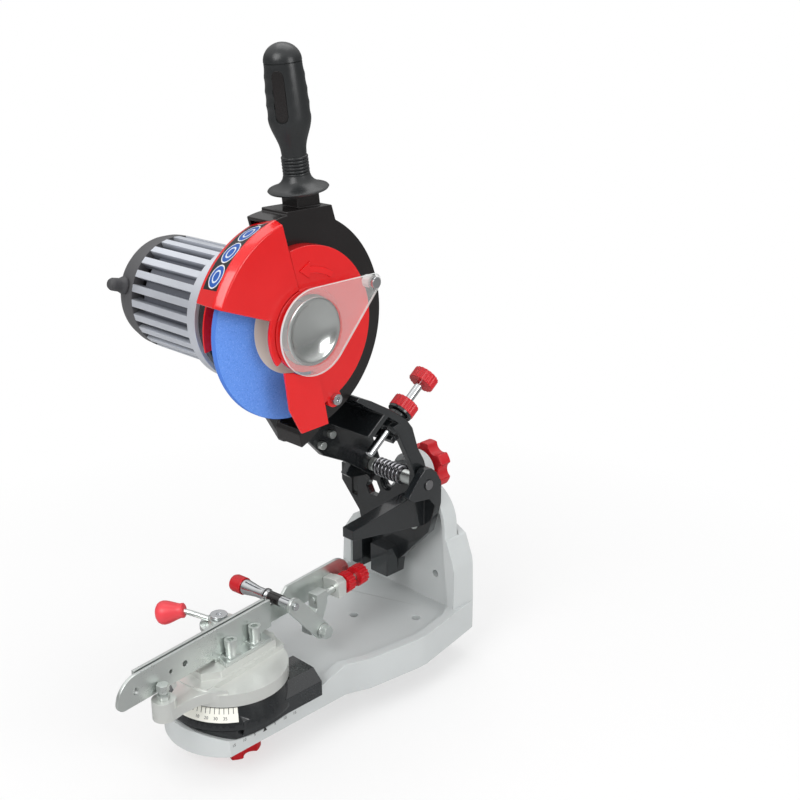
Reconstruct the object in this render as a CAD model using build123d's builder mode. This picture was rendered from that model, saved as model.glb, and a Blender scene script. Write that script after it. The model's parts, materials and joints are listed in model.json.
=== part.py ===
from build123d import *
import os
from math import cos, radians, sin

os.makedirs("parts", exist_ok=True)

# ------------------------------------------------------------------ driving sizes, mm
# The origin is the middle of the two bench bolts on the plane of the base's foot.
# X is across the grinding wheel, +Y runs to the column at the back and +Z is up.
FIT = 0.05  # radial clearance of a pin or shaft that turns
GAP = 0.3  # clearance between faces that slide past each other

BENCH_X = 21.5  # half spacing of the bench bolts
BENCH_Y = 17.5
BENCH_HOLE_R = 3.75
SWIVEL_Y = -171.0  # upright axis of the vise turntable, centre of the rounded nose
NOSE_R = 53.0
NOSE_TOP = 20.0
FLOOR_Z = 22.0
RIM_Z = 28.0
WALL = 6.0
RIB = 5.0
SIDE_X = 41.0  # flat right side beside the nose
FLARE_Y = -86.0  # where the right side starts to flare
STEP_Y = -113.0  # where the rim falls to the nose
COLUMN_Y = 43.0  # front face of the column's rim
PANEL_Y = 52.0
UPPER_BACK_Y = 59.0
REAR_Y = 69.0
WALL_HOLE_R = 3.2
WALL_HOLES = [(12.0, 49.0), (-68.0, 49.0)]

CRADLE_TILT_Z = 130.0  # axis of the cradle's cylindrical seat, parallel to X
TROUGH_R = 120.3
BARREL_R = TROUGH_R - GAP
KNOB_CEILING_R = TROUGH_R + 5.7
CRADLE_TILT = 10.0

HEAD_TILT_Z = 101.0  # axis of the head's sideways tilt, parallel to Y
HEAD_TILT = 30.0
TILT_BOLT_R = 6.0
STUD_X = -14.0
STUD_Z = 142.0
STUD_R = 4.5
PLATE_BACK = COLUMN_Y - GAP
PLATE_THICK = 8.0
PLATE_FRONT = PLATE_BACK - PLATE_THICK

PIVOT_Y = 26.0  # pin the grinding head hinges on, parallel to X
PIVOT_Z = 148.0
PIVOT_PIN_R = 4.5
ARM_REACH = 202.8  # pin to wheel axis
ARM_ANGLE = 52.3  # the arm's rise above level at rest

WHEEL_R = 72.5
WHEEL_THICK = 4.8
WHEEL_BORE_R = 11.1
SHAFT_R = 6.0
GUARD_ROOM = 12.5  # from the wheel's rim to the outside of its housing
HOUSING_R = WHEEL_R + GUARD_ROOM
HOUSING_BACK = -20.0
HOUSING_FRONT = 9.0
COVER_FACE = 21.0
COVER_LIP = 2.5  # the front cover's rim stands proud of the housing
COVER_R = HOUSING_R + COVER_LIP

VISE_ANGLE = 96.7  # direction of the vise rails at rest, from +X
RAIL_TOP = 87.0
RAIL_FOOT = 63.0
RAIL_THICK = 3.0
CHAIN_GAP = 1.6  # between the rails, for the chain's drive links
JAW_TRAVEL = 1.2
BLOCK_TOP = 60.0

# ------------------------------------------------------------------ derived frames
ARM_C = cos(radians(ARM_ANGLE))
ARM_S = sin(radians(ARM_ANGLE))
WHEEL_Y = PIVOT_Y - ARM_REACH * ARM_C
WHEEL_Z = PIVOT_Z + ARM_REACH * ARM_S
RAIL_DIR = (cos(radians(VISE_ANGLE)), sin(radians(VISE_ANGLE)), 0)
RAIL_OUT = (sin(radians(VISE_ANGLE)), -cos(radians(VISE_ANGLE)), 0)


def facing(y):
    """Upright plane across the machine: sketch x is X, sketch y is Z, extrudes to the front."""
    return Plane(origin=(0, y, 0), x_dir=(1, 0, 0), z_dir=(0, -1, 0))


def side(x):
    """Upright plane along the machine: sketch x is Y, sketch y is Z, extrudes to +X."""
    return Plane(origin=(x, 0, 0), x_dir=(0, 1, 0), z_dir=(1, 0, 0))


def hub(x):
    """Like side(), centred on the wheel axis."""
    return Plane(origin=(x, WHEEL_Y, WHEEL_Z), x_dir=(0, 1, 0), z_dir=(1, 0, 0))


def arm(x):
    """Centred on the pivot pin: sketch x runs up the arm, extrudes to -X."""
    return Plane(origin=(x, PIVOT_Y, PIVOT_Z), x_dir=(0, -ARM_C, ARM_S), z_dir=(-1, 0, 0))


def nose(z):
    """Level plane centred on the swivel axis, square to the base."""
    return Plane(origin=(0, SWIVEL_Y, z), x_dir=(1, 0, 0), z_dir=(0, 0, 1))


def vise(z):
    """Level plane on the swivel axis: sketch x is out from the rails, sketch y along them."""
    return Plane(origin=(0, SWIVEL_Y, z), x_dir=RAIL_OUT, z_dir=(0, 0, 1))


def beside_rail(d):
    """Upright plane along the rails: sketch x along them, sketch y is Z, extrudes outward."""
    start = (d * RAIL_OUT[0], SWIVEL_Y + d * RAIL_OUT[1], 0)
    return Plane(origin=start, x_dir=RAIL_DIR, z_dir=RAIL_OUT)


def across_rail(s, d, z):
    """Plane square to the rails at a point beside them, extrudes along them."""
    x = s * RAIL_DIR[0] + d * RAIL_OUT[0]
    y = SWIVEL_Y + s * RAIL_DIR[1] + d * RAIL_OUT[1]
    return Plane(origin=(x, y, z), x_dir=(0, 0, 1), z_dir=RAIL_DIR)


def turned(plane, angle):
    """The same plane with its sketch axes turned about its normal."""
    swung = plane.x_dir * cos(radians(angle)) + plane.y_dir * sin(radians(angle))
    return Plane(origin=plane.origin, x_dir=swung, z_dir=plane.z_dir)


def rod(plane, radius, length, at=((0, 0),), mode=Mode.ADD):
    """Round bars, or round holes, standing on a plane."""
    with BuildSketch(plane) as disc:
        with Locations(*at):
            Circle(radius)
    extrude(disc.sketch, amount=length, mode=mode)


def hexagon(plane, flats, length, at=((0, 0),), mode=Mode.ADD):
    """Hexagonal bars, or sockets, standing on a plane."""
    with BuildSketch(plane) as face:
        with Locations(*at):
            RegularPolygon(flats / 2, 6, major_radius=False)
    extrude(face.sketch, amount=length, mode=mode)


def slab(plane, outline, thick, mode=Mode.ADD):
    """A flat plate, or a cut-out, with straight edges."""
    with BuildSketch(plane) as face:
        Polygon(*outline, align=None)
    extrude(face.sketch, amount=thick, mode=mode)


def spun(plane, outline, arc=360.0, mode=Mode.ADD):
    """A turned body: the outline is (radius, height) about the plane's normal."""
    upright = Plane(origin=plane.origin, x_dir=plane.x_dir, z_dir=-plane.y_dir)
    with BuildSketch(upright) as face:
        Polygon(*outline, align=None)
    turn = Axis(plane.origin, plane.z_dir)
    revolve(face.sketch, axis=turn, revolution_arc=arc, mode=mode)


def ring_sector(plane, inner, outer, start, sweep, thick, mode=Mode.ADD):
    """Part of a flat ring about the plane's origin."""
    with BuildSketch(plane) as face:
        with BuildLine():
            far = CenterArc((0, 0), outer, start, sweep)
            near = CenterArc((0, 0), inner, start, sweep)
            Line(far @ 0, near @ 0)
            Line(far @ 1, near @ 1)
        make_face()
    extrude(face.sketch, amount=thick, mode=mode)


def washer(plane, inner, outer, thick):
    """A flat ring."""
    with BuildSketch(plane) as face:
        Circle(outer)
        Circle(inner, mode=Mode.SUBTRACT)
    extrude(face.sketch, amount=thick)


def star_knob(plane, radius, height, lobes):
    """A moulded knob with round notches between its lobes."""
    with BuildSketch(plane) as face:
        Circle(radius)
        with PolarLocations(radius * 1.12, lobes):
            Circle(radius * 0.34, mode=Mode.SUBTRACT)
    extrude(face.sketch, amount=height)


def ribbed_knob(plane, radius, height, ribs):
    """A moulded knob with fine grooves along its rim."""
    with BuildSketch(plane) as face:
        Circle(radius)
        with PolarLocations(radius, ribs):
            Circle(radius * 0.09, mode=Mode.SUBTRACT)
    extrude(face.sketch, amount=height)


# ------------------------------------------------------------------ base casting
BASE_OUTLINE = [
    (-NOSE_R, SWIVEL_Y),
    (-98, COLUMN_Y),
    (-100, REAR_Y),
    (43, REAR_Y),
    (50, 30),
    (56, -5),
    (56, -15),
    (49, -65),
    (SIDE_X, FLARE_Y),
    (SIDE_X, SWIVEL_Y),
]
FLOOR_OUTLINE = [
    (-56, STEP_Y - NOSE_TOP),
    (-89, COLUMN_Y),
    (-89, PANEL_Y),
    (34, PANEL_Y),
    (34, COLUMN_Y),
    (41, 30),
    (47, -5),
    (47, -15),
    (40, -65),
    (32, FLARE_Y),
    (32, STEP_Y - NOSE_TOP),
]
UNDER_OUTLINE = [
    (-60, -105),
    (-93, REAR_Y - WALL),
    (37, REAR_Y - WALL),
    (44, 28),
    (50, -6),
    (50, -14),
    (43, -66),
    (35, FLARE_Y),
    (35, -105),
]
COLUMN_OUTLINE = [
    (-100, 0),
    (-100, 28),
    (-98, 62),
    (-85, 80),
    (-45, 97),
    (21, 97),
    (27, 94),
    (33, 91),
    (35, 86),
    (41, 71),
    (42, 64),
    (43, 28),
    (43, 0),
]
UPPER_OUTLINE = [(-45, 60), (-45, 90), (-43, 101), (31, 101), (32, 90), (32, 60)]
ARCH_CENTRE = (-6, 101)
ARCH_R = 37.0
PANEL_OUTLINE = [
    (34, FLOOR_Z),
    (34, 34),
    (32, 50),
    (29, 79),
    (27, 103),
    (25, 113),
    (18, 121),
    (11, 125),
    (-5, 127),
    (-24, 122),
    (-32, 113),
    (-36, 103),
    (-45, 88),
    (-88, 66),
    (-89, FLOOR_Z),
]
BACK_OUTLINE = [
    (-92, 24),
    (-91, 60),
    (-80, 74),
    (-44, 89),
    (18, 89),
    (26, 86),
    (34, 68),
    (36, 24),
]
STUD_SLOT_R = STUD_R + 0.5
KNOB_R = 22.0

with BuildPart() as knob_pocket:
    with BuildSketch(nose(0)):
        SlotCenterToCenter(2 * KNOB_R, 2 * KNOB_R + 3, rotation=90)
    extrude(amount=NOSE_TOP)
    rod(side(-NOSE_R), KNOB_CEILING_R, 2 * NOSE_R, at=((SWIVEL_Y, CRADLE_TILT_Z),), mode=Mode.SUBTRACT)

with BuildPart() as base_casting:
    with BuildSketch():
        Polygon(*BASE_OUTLINE, align=None)
        with Locations((0, SWIVEL_Y)):
            Circle(NOSE_R)
        with Locations((SIDE_X, FLARE_Y)):
            Rectangle(NOSE_R, 3 * NOSE_R, align=(Align.MIN, Align.MAX), mode=Mode.SUBTRACT)
    extrude(amount=RIM_Z)
    # the rim slopes down to the level nose
    NOSE_STEP = [
        (SWIVEL_Y - 2 * NOSE_R, NOSE_TOP),
        (STEP_Y, NOSE_TOP),
        (FLARE_Y, RIM_Z),
        (FLARE_Y, 2 * RIM_Z),
        (SWIVEL_Y - 2 * NOSE_R, 2 * RIM_Z),
    ]
    slab(side(-2 * NOSE_R), NOSE_STEP, 4 * NOSE_R, mode=Mode.SUBTRACT)
    # shallow floor inside the rim
    slab(Plane.XY.offset(FLOOR_Z), FLOOR_OUTLINE, RIM_Z, mode=Mode.SUBTRACT)
    # column: broad lower part, narrower arched upper part, bosses for bolt and stud
    slab(facing(REAR_Y), COLUMN_OUTLINE, REAR_Y - COLUMN_Y)
    slab(facing(UPPER_BACK_Y), UPPER_OUTLINE, UPPER_BACK_Y - COLUMN_Y)
    rod(facing(UPPER_BACK_Y), ARCH_R, UPPER_BACK_Y - COLUMN_Y, at=(ARCH_CENTRE,))
    slab(facing(PANEL_Y), PANEL_OUTLINE, PANEL_Y, mode=Mode.SUBTRACT)
    rod(facing(UPPER_BACK_Y), 18, UPPER_BACK_Y - COLUMN_Y, at=((STUD_X, STUD_Z),))
    rod(facing(UPPER_BACK_Y), 2 * TILT_BOLT_R, UPPER_BACK_Y - COLUMN_Y, at=((0, HEAD_TILT_Z),))
    rod(facing(REAR_Y), TILT_BOLT_R + FIT, REAR_Y, at=((0, HEAD_TILT_Z),), mode=Mode.SUBTRACT)
    rod(facing(REAR_Y), STUD_R, REAR_Y, at=((STUD_X, STUD_Z),), mode=Mode.SUBTRACT)
    # the column's back is hollow, with a rib and two bosses for wall screws
    with BuildSketch(facing(REAR_Y)):
        Polygon(*BACK_OUTLINE, align=None)
        with Locations(*WALL_HOLES):
            Circle(9, mode=Mode.SUBTRACT)
        with Locations((-28, 50)):
            Rectangle(WALL, 100, mode=Mode.SUBTRACT)
        with Locations((-28, 49)):
            Rectangle(200, WALL, mode=Mode.SUBTRACT)
    extrude(amount=REAR_Y - UPPER_BACK_Y + 1, mode=Mode.SUBTRACT)
    rod(facing(REAR_Y), WALL_HOLE_R, REAR_Y - COLUMN_Y, at=WALL_HOLES, mode=Mode.SUBTRACT)
    rod(facing(REAR_Y), 13, REAR_Y - UPPER_BACK_Y, at=((0, HEAD_TILT_Z),), mode=Mode.SUBTRACT)
    # the foot is hollow under the floor, with ribs and two bosses for the bench bolts
    with BuildSketch():
        Polygon(*UNDER_OUTLINE, align=None)
        with Locations((BENCH_X, BENCH_Y), (-BENCH_X, -BENCH_Y)):
            Circle(10, mode=Mode.SUBTRACT)
        with Locations((0, -62), (0, 0), (0, 36)):
            Rectangle(4 * NOSE_R, RIB, mode=Mode.SUBTRACT)
        with Locations((-BENCH_X, -20)):
            Rectangle(RIB, 4 * NOSE_R, mode=Mode.SUBTRACT)
    extrude(amount=FLOOR_Z - WALL, mode=Mode.SUBTRACT)
    rod(Plane.XY, BENCH_HOLE_R, RIM_Z, at=((BENCH_X, BENCH_Y), (-BENCH_X, -BENCH_Y)), mode=Mode.SUBTRACT)
    # cylindrical seat for the cradle, slot for its clamp stud, recess for the knob
    TROUGH_LEFT = -42.0
    rod(
        side(TROUGH_LEFT), TROUGH_R, SIDE_X - TROUGH_LEFT + 1, at=((SWIVEL_Y, CRADLE_TILT_Z),), mode=Mode.SUBTRACT
    )
    with BuildSketch(nose(0)):
        SlotCenterToCenter(2 * KNOB_R, 2 * STUD_SLOT_R, rotation=90)
    extrude(amount=NOSE_TOP, mode=Mode.SUBTRACT)
    add(knob_pocket.part, mode=Mode.SUBTRACT)
base_casting.part.label = "base_casting"
export_step(base_casting.part, "parts/base_casting.step")

# ------------------------------------------------------------------ head tilt: stud, knob, bolt
TEE_DEPTH = 3.5
TEE_R = 7.0
TILT_KNOB_R = 22.5
TILT_KNOB_Y = UPPER_BACK_Y + GAP

with BuildPart() as tilt_stud:
    stud_front = PLATE_FRONT + GAP
    rod(facing(TILT_KNOB_Y + 14), STUD_R, TILT_KNOB_Y + 14 - stud_front, at=((STUD_X, STUD_Z),))
    rod(facing(stud_front + TEE_DEPTH - GAP), TEE_R, TEE_DEPTH - GAP, at=((STUD_X, STUD_Z),))
tilt_stud.part.label = "tilt_stud"
export_step(tilt_stud.part, "parts/tilt_stud.step")

TILT_KNOB_PLANE = Plane(origin=(STUD_X, TILT_KNOB_Y, STUD_Z), x_dir=(1, 0, 0), z_dir=(0, 1, 0))
with BuildPart() as tilt_knob:
    rod(TILT_KNOB_PLANE, 10, 5)
    star_knob(TILT_KNOB_PLANE.offset(4), TILT_KNOB_R, 13, 6)
    rod(TILT_KNOB_PLANE, STUD_R + FIT, 15, mode=Mode.SUBTRACT)
tilt_knob.part.label = "tilt_knob"
export_step(tilt_knob.part, "parts/tilt_knob.step")

with BuildPart() as tilt_bolt:
    rod(facing(72), TILT_BOLT_R, 72 - PLATE_FRONT, at=((0, HEAD_TILT_Z),))
    # washer and nut behind the column
    rod(facing(UPPER_BACK_Y + GAP + 2), 11, 2, at=((0, HEAD_TILT_Z),))
    hexagon(facing(UPPER_BACK_Y + GAP + 9), 17, 7, at=((0, HEAD_TILT_Z),))
tilt_bolt.part.label = "tilt_bolt"
export_step(tilt_bolt.part, "parts/tilt_bolt.step")

# ------------------------------------------------------------------ tilting bracket
SLOT_ORBIT = ((STUD_X) ** 2 + (STUD_Z - HEAD_TILT_Z) ** 2) ** 0.5
STUD_BEARING = 108.85  # angle of the stud about the tilt bolt, from +X
PLATE_FOOT = 46.0
PAD_TOP = 73.0
PAD_THICK = 14.0
PADS = [(-63.0, -50.0), (-39.0, -18.0)]
PLATE_OUTLINE = [
    (-91, 133),
    (-91, 116),
    (-68, 92),
    (PADS[0][0], PAD_TOP),
    (PADS[0][0], PLATE_FOOT),
    (PADS[1][1], PLATE_FOOT),
    (-16, 60),
    (19, 98),
    (27, 126),
    (27, 136.5),
    (8, 136.5),
    (2, 148),
    (-8, 154),
    (-20, 153),
    (-34, 147),
    (-42, 137),
    (-50, 133),
]
EAR_OUTLINE = [
    (2, 142),
    (8, 137),
    (28, 134),
    (PLATE_FRONT, 126),
    (PLATE_BACK, 126),
    (PLATE_BACK, 146),
    (36, 157),
    (30, 162),
    (22, 163),
    (14, 156),
]
EAR_THICK = 7.0
EARS_LEFT = [-57.0, 20.0]
TONGUE_LEFT = 1.0
TONGUE_WIDTH = 13.0
TONGUE_TIP = -50.0
TONGUE_OUTLINE = [(PLATE_FRONT, 136.5), (TONGUE_TIP, 126), (TONGUE_TIP, 117), (PLATE_FRONT, 103)]
TONGUE_HOLLOW = [(PLATE_FRONT, 132.5), (TONGUE_TIP + 4, 122.5), (TONGUE_TIP + 4, 110), (PLATE_FRONT, 96)]

with BuildPart() as tilt_bracket:
    slab(facing(PLATE_BACK), PLATE_OUTLINE, PLATE_THICK)
    for left in EARS_LEFT:
        slab(side(left), EAR_OUTLINE, EAR_THICK)
    # guide tongue the depth screw lands on, an open channel seen from below
    slab(side(TONGUE_LEFT), TONGUE_OUTLINE, TONGUE_WIDTH)
    slab(side(TONGUE_LEFT + 3), TONGUE_HOLLOW, TONGUE_WIDTH - 6, mode=Mode.SUBTRACT)
    # two pads at the foot of the plate
    for left, right in PADS:
        pad = [(left, PLATE_FOOT), (right, PLATE_FOOT), (right, PAD_TOP), (left, PAD_TOP)]
        slab(facing(PLATE_FRONT), pad, PAD_THICK)
    # cut-outs
    slab(facing(PLATE_BACK), [(-77, 105), (-70, 105), (-70, 123), (-77, 123)], PLATE_THICK, mode=Mode.SUBTRACT)
    hexagon(facing(PLATE_BACK), 15, PLATE_THICK, at=((-49.5, 119.5),), mode=Mode.SUBTRACT)
    rod(facing(PLATE_BACK), 2.5, PLATE_THICK, at=((-45, 61),), mode=Mode.SUBTRACT)
    rod(facing(PLATE_BACK), TILT_BOLT_R, PLATE_THICK, at=((0, HEAD_TILT_Z),), mode=Mode.SUBTRACT)
    # stepped arc slot for the stud and its tee head
    for radius, depth in [(STUD_R + GAP, PLATE_THICK), (TEE_R + GAP, TEE_DEPTH + GAP)]:
        start = Plane(origin=(0, PLATE_FRONT, HEAD_TILT_Z), x_dir=(1, 0, 0), z_dir=(0, -1, 0))
        ring_sector(
            start, SLOT_ORBIT - radius, SLOT_ORBIT + radius, STUD_BEARING, HEAD_TILT, -depth, mode=Mode.SUBTRACT
        )
        ends = [
            (SLOT_ORBIT * cos(radians(STUD_BEARING + a)), SLOT_ORBIT * sin(radians(STUD_BEARING + a)))
            for a in (0, HEAD_TILT)
        ]
        rod(start, radius, -depth, at=ends, mode=Mode.SUBTRACT)
    # bore for the pivot pin
    rod(side(-60), PIVOT_PIN_R, 90, at=((PIVOT_Y, PIVOT_Z),), mode=Mode.SUBTRACT)
tilt_bracket.part.label = "tilt_bracket"
export_step(tilt_bracket.part, "parts/tilt_bracket.step")

with BuildPart() as pivot_pin:
    rod(side(-58.5), PIVOT_PIN_R, 87, at=((PIVOT_Y, PIVOT_Z),))
    rod(side(-61), 6.5, 2.5, at=((PIVOT_Y, PIVOT_Z),))
pivot_pin.part.label = "pivot_pin"
export_step(pivot_pin.part, "parts/pivot_pin.step")

with BuildPart() as pivot_sleeves:
    for left, long in [(-40.7, 5.4), (-1.5, 12.2)]:
        rod(side(left), 6, long, at=((PIVOT_Y, PIVOT_Z),))
    rod(side(-60), PIVOT_PIN_R, 90, at=((PIVOT_Y, PIVOT_Z),), mode=Mode.SUBTRACT)
pivot_sleeves.part.label = "pivot_sleeves"
export_step(pivot_sleeves.part, "parts/pivot_sleeves.step")

SPRING_R = 7.4
WIRE_R = 0.9
SPRING_LEFT = -34.0
SPRING_TURNS = 12
SPRING_PITCH = 2.6
with BuildPart() as return_spring:
    coil_start = Plane(origin=(SPRING_LEFT, PIVOT_Y, PIVOT_Z), x_dir=(0, 0, -1), z_dir=(1, 0, 0))
    coil = coil_start.location * Helix(SPRING_PITCH, SPRING_PITCH * SPRING_TURNS, SPRING_R)
    with BuildSketch(Plane(origin=coil @ 0, z_dir=coil % 0)) as wire:
        Circle(WIRE_R)
    sweep(wire.sketch, path=coil, is_frenet=True)
return_spring.part.label = "return_spring"
export_step(return_spring.part, "parts/return_spring.step")

# ------------------------------------------------------------------ head arm
WEB_LEFT = -48.0
WEB_THICK = 7.0
LEFT_WEB = [
    (130, -46),
    (200, -49),
    (200, 49),
    (160, 22),
    (121, -1),
    (104, 8),
    (80, 17.6),
    (59, 24),
    (40, 22),
    (10, 14),
    (-6, 9),
    (-9, 0),
    (-6, -8),
    (8, -12),
    (29, -19),
    (54, -31),
    (77, -33),
    (100, -50),
]
TOP_FLANGE = [(127, -6), (121, -1), (104, 8), (80, 17.6), (59, 24), (47, 24), (47, 18), (57, 18), (78, 11.6), (102, 2)]
RIGHT_BAR = [
    (66, 10),
    (60, 24),
    (47, 24),
    (27, 17),
    (12, 15),
    (-5, 9),
    (-9, 1),
    (-7, -7),
    (2, -9),
    (12, 0),
    (27, 4),
    (58, 10),
]
RIGHT_BAR_LEFT = 11.0
DEPTH_U = 60.0
DEPTH_X = 7.5
DEPTH_ROD_R = 3.5
GUARD_CLEAR_R = HOUSING_R + GAP
NECK_R = 30.0
DEPTH_PLANE = Plane(
    origin=(DEPTH_X, PIVOT_Y - DEPTH_U * ARM_C, PIVOT_Z + DEPTH_U * ARM_S), x_dir=(1, 0, 0), z_dir=(0, ARM_S, ARM_C)
)
MOTOR_FRONT = WEB_LEFT
BEARING_R = 17.5

with BuildPart() as arm_casting:
    slab(arm(WEB_LEFT + WEB_THICK), LEFT_WEB, WEB_THICK)
    slab(arm(18), RIGHT_BAR, 18 - RIGHT_BAR_LEFT)
    slab(arm(18), TOP_FLANGE, 18 - WEB_LEFT)
    # cross ribs under the flange
    slab(arm(RIGHT_BAR_LEFT), [(47, 19), (53, 19), (53, 4), (47, 4)], RIGHT_BAR_LEFT - WEB_LEFT)
    slab(arm(18), [(78, 13), (84, 11), (84, -14), (78, -12)], 18 - WEB_LEFT)
    # threaded boss of the depth screw
    rod(DEPTH_PLANE.offset(8), 8, 18)
    rod(hub(HOUSING_FRONT + 20), GUARD_CLEAR_R, HOUSING_BACK - GAP - HOUSING_FRONT - 20, mode=Mode.SUBTRACT)
    # end plate and neck that carry the motor and the wheel housing
    rod(hub(WEB_LEFT), 50, WEB_THICK)
    rod(hub(WEB_LEFT), NECK_R, HOUSING_BACK - WEB_LEFT)
    rod(hub(WEB_LEFT), BEARING_R, 20, mode=Mode.SUBTRACT)
    rod(hub(WEB_LEFT), SHAFT_R + 2, 60, mode=Mode.SUBTRACT)
    rod(side(-60), PIVOT_PIN_R + FIT, 90, at=((PIVOT_Y, PIVOT_Z),), mode=Mode.SUBTRACT)
    rod(DEPTH_PLANE, DEPTH_ROD_R + FIT, 30, mode=Mode.SUBTRACT)
arm_casting.part.label = "arm_casting"
export_step(arm_casting.part, "parts/arm_casting.step")

with BuildPart() as arm_screws:
    for u, v in [(64, -14), (65, -27)]:
        rod(arm(WEB_LEFT + WEB_THICK + 5), 3.5, 5, at=((u, v),))
arm_screws.part.label = "arm_screws"
export_step(arm_screws.part, "parts/arm_screws.step")

# ------------------------------------------------------------------ depth stop
PITCH_TRAVEL = 6.0
with BuildPart() as depth_screw:
    rod(DEPTH_PLANE.offset(-18), DEPTH_ROD_R, 83)
depth_screw.part.label = "depth_screw"
export_step(depth_screw.part, "parts/depth_screw.step")

with BuildPart() as depth_knob:
    ribbed_knob(DEPTH_PLANE.offset(54), 10, 15, 18)
    rod(DEPTH_PLANE.offset(54), DEPTH_ROD_R + FIT, 12, mode=Mode.SUBTRACT)
depth_knob.part.label = "depth_knob"
export_step(depth_knob.part, "parts/depth_knob.step")

with BuildPart() as depth_lock_knob:
    rod(DEPTH_PLANE.offset(26 + GAP), 7, 3)
    ribbed_knob(DEPTH_PLANE.offset(28), 11, 12, 20)
    rod(DEPTH_PLANE.offset(26), DEPTH_ROD_R + FIT, 20, mode=Mode.SUBTRACT)
depth_lock_knob.part.label = "depth_lock_knob"
export_step(depth_lock_knob.part, "parts/depth_lock_knob.step")

# ------------------------------------------------------------------ wheel housing and covers
HOUSING_START = -85.0
HOUSING_SWEEP = 190.0
COVER_START = 105.0
COVER_SWEEP = 54.5
SKIN = 3.0
RED_R = 63.0
HUB_RING_R = 32.0
HUB_RING_IN = 26.7
COVER_SCREW_R = 2.5
DROP_TIP = (60, 27)
LUG_ANGLE = -67.4
LUG_R = RED_R + 2
LUG = (LUG_R * cos(radians(LUG_ANGLE)), LUG_R * sin(radians(LUG_ANGLE)))

HANDLE_FOOT = (16, HOUSING_R + 14.5)
HANDLE_TIP = (3, HOUSING_R + 118.5)
HANDLE_X = -5.5
HANDLE_LONG = ((HANDLE_FOOT[0] - HANDLE_TIP[0]) ** 2 + (HANDLE_TIP[1] - HANDLE_FOOT[1]) ** 2) ** 0.5
HANDLE_PLANE = Plane(
    origin=(HANDLE_X, WHEEL_Y + HANDLE_FOOT[0], WHEEL_Z + HANDLE_FOOT[1]),
    x_dir=(1, 0, 0),
    z_dir=(0, (HANDLE_TIP[0] - HANDLE_FOOT[0]) / HANDLE_LONG, (HANDLE_TIP[1] - HANDLE_FOOT[1]) / HANDLE_LONG),
)
NECK_HIGH = 20.0
FOOT_OUTLINE = [
    (4, 15 - HOUSING_R),
    (-2, -1 - HOUSING_R),
    (0, -12 - HOUSING_R),
    (7, -9 - HOUSING_R),
    (30, 6 - HOUSING_R),
]
SEAT_OUTLINE = [(-8, HOUSING_R - 7), (-8, HOUSING_R + 2), (36, HOUSING_R + 2), (40, HOUSING_R - 11)]

with BuildPart() as wheel_housing:
    ring_sector(hub(HOUSING_BACK), 20, HOUSING_R, HOUSING_START, HOUSING_SWEEP, HOUSING_FRONT - HOUSING_BACK)
    # foot of the housing below the wheel
    slab(hub(HOUSING_BACK), FOOT_OUTLINE, HOUSING_FRONT - HOUSING_BACK)
    # level seat of the handle
    slab(hub(HOUSING_BACK), SEAT_OUTLINE, HOUSING_FRONT - HOUSING_BACK)
    rod(hub(HOUSING_BACK), NECK_R, SKIN)
    # square neck under the handle
    slab(HANDLE_PLANE.offset(-NECK_HIGH), [(-9, -10), (9, -10), (9, 12), (-9, 12)], NECK_HIGH - 2)
    # room for the wheel, open at the right
    rod(hub(HOUSING_BACK + SKIN), HOUSING_R - SKIN, HOUSING_FRONT - SKIN - HOUSING_BACK - SKIN, mode=Mode.SUBTRACT)
    rod(hub(HOUSING_BACK), RED_R - SKIN, 40, mode=Mode.SUBTRACT)
    ring_sector(hub(HOUSING_BACK), 20, RED_R, HOUSING_START, HOUSING_SWEEP, SKIN)
    rod(hub(HOUSING_BACK), NECK_R, SKIN)
    rod(hub(HOUSING_BACK), SHAFT_R + 2, SKIN, mode=Mode.SUBTRACT)
wheel_housing.part.label = "wheel_housing"
export_step(wheel_housing.part, "parts/wheel_housing.step")

RIM_BACK = -14.5
with BuildPart() as front_cover:
    # tapered rim round the upper front of the wheel
    start = turned(hub(RIM_BACK), COVER_START)
    rim_outline = [
        (COVER_R - 10.5, 0),
        (COVER_R - 7.5, 0),
        (COVER_R, COVER_FACE - RIM_BACK - 7),
        (COVER_R - 3, COVER_FACE - RIM_BACK),
        (COVER_R - 6, COVER_FACE - RIM_BACK),
        (COVER_R - 6, COVER_FACE - RIM_BACK - 8),
    ]
    spun(start, rim_outline, arc=COVER_SWEEP)
    ring_sector(hub(COVER_FACE - SKIN), HUB_RING_R + GAP, COVER_R - 4, COVER_START, COVER_SWEEP, SKIN)
    ring_sector(hub(COVER_FACE - SKIN), HUB_RING_R + GAP, HUB_RING_R + 6, COVER_START + 10, 100, SKIN)
front_cover.part.label = "front_cover"
export_step(front_cover.part, "parts/front_cover.step")

with BuildPart() as rear_cover:
    rear_sweep = 189.0
    ring_sector(hub(HOUSING_FRONT), 20, RED_R, -84.5, rear_sweep, COVER_FACE - 1 - HOUSING_FRONT)
    rod(hub(HOUSING_FRONT), 7, COVER_FACE - 1 - HOUSING_FRONT, at=(LUG,))
    rod(hub(HOUSING_FRONT), RED_R - SKIN, COVER_FACE - 1 - SKIN - HOUSING_FRONT, mode=Mode.SUBTRACT)
    rod(hub(COVER_FACE - 1 - SKIN), HUB_RING_R, SKIN + 1)
    rod(hub(HOUSING_FRONT), HUB_RING_IN, 40, mode=Mode.SUBTRACT)
    rod(hub(HOUSING_FRONT), COVER_SCREW_R, 40, at=(LUG, DROP_TIP), mode=Mode.SUBTRACT)
rear_cover.part.label = "rear_cover"
export_step(rear_cover.part, "parts/rear_cover.step")

CLEAR_R = 33.5
TONGUE_PLATE = [(-27, -27), (-23, -57), (-12, -78), (15, -77), (12, -61), (5, -33)]
with BuildPart() as wheel_tongue:
    slab(hub(COVER_FACE + GAP), TONGUE_PLATE, 2.5)
    rod(hub(COVER_FACE + GAP), CLEAR_R + GAP, 2.5, mode=Mode.SUBTRACT)
wheel_tongue.part.label = "wheel_tongue"
export_step(wheel_tongue.part, "parts/wheel_tongue.step")

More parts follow.
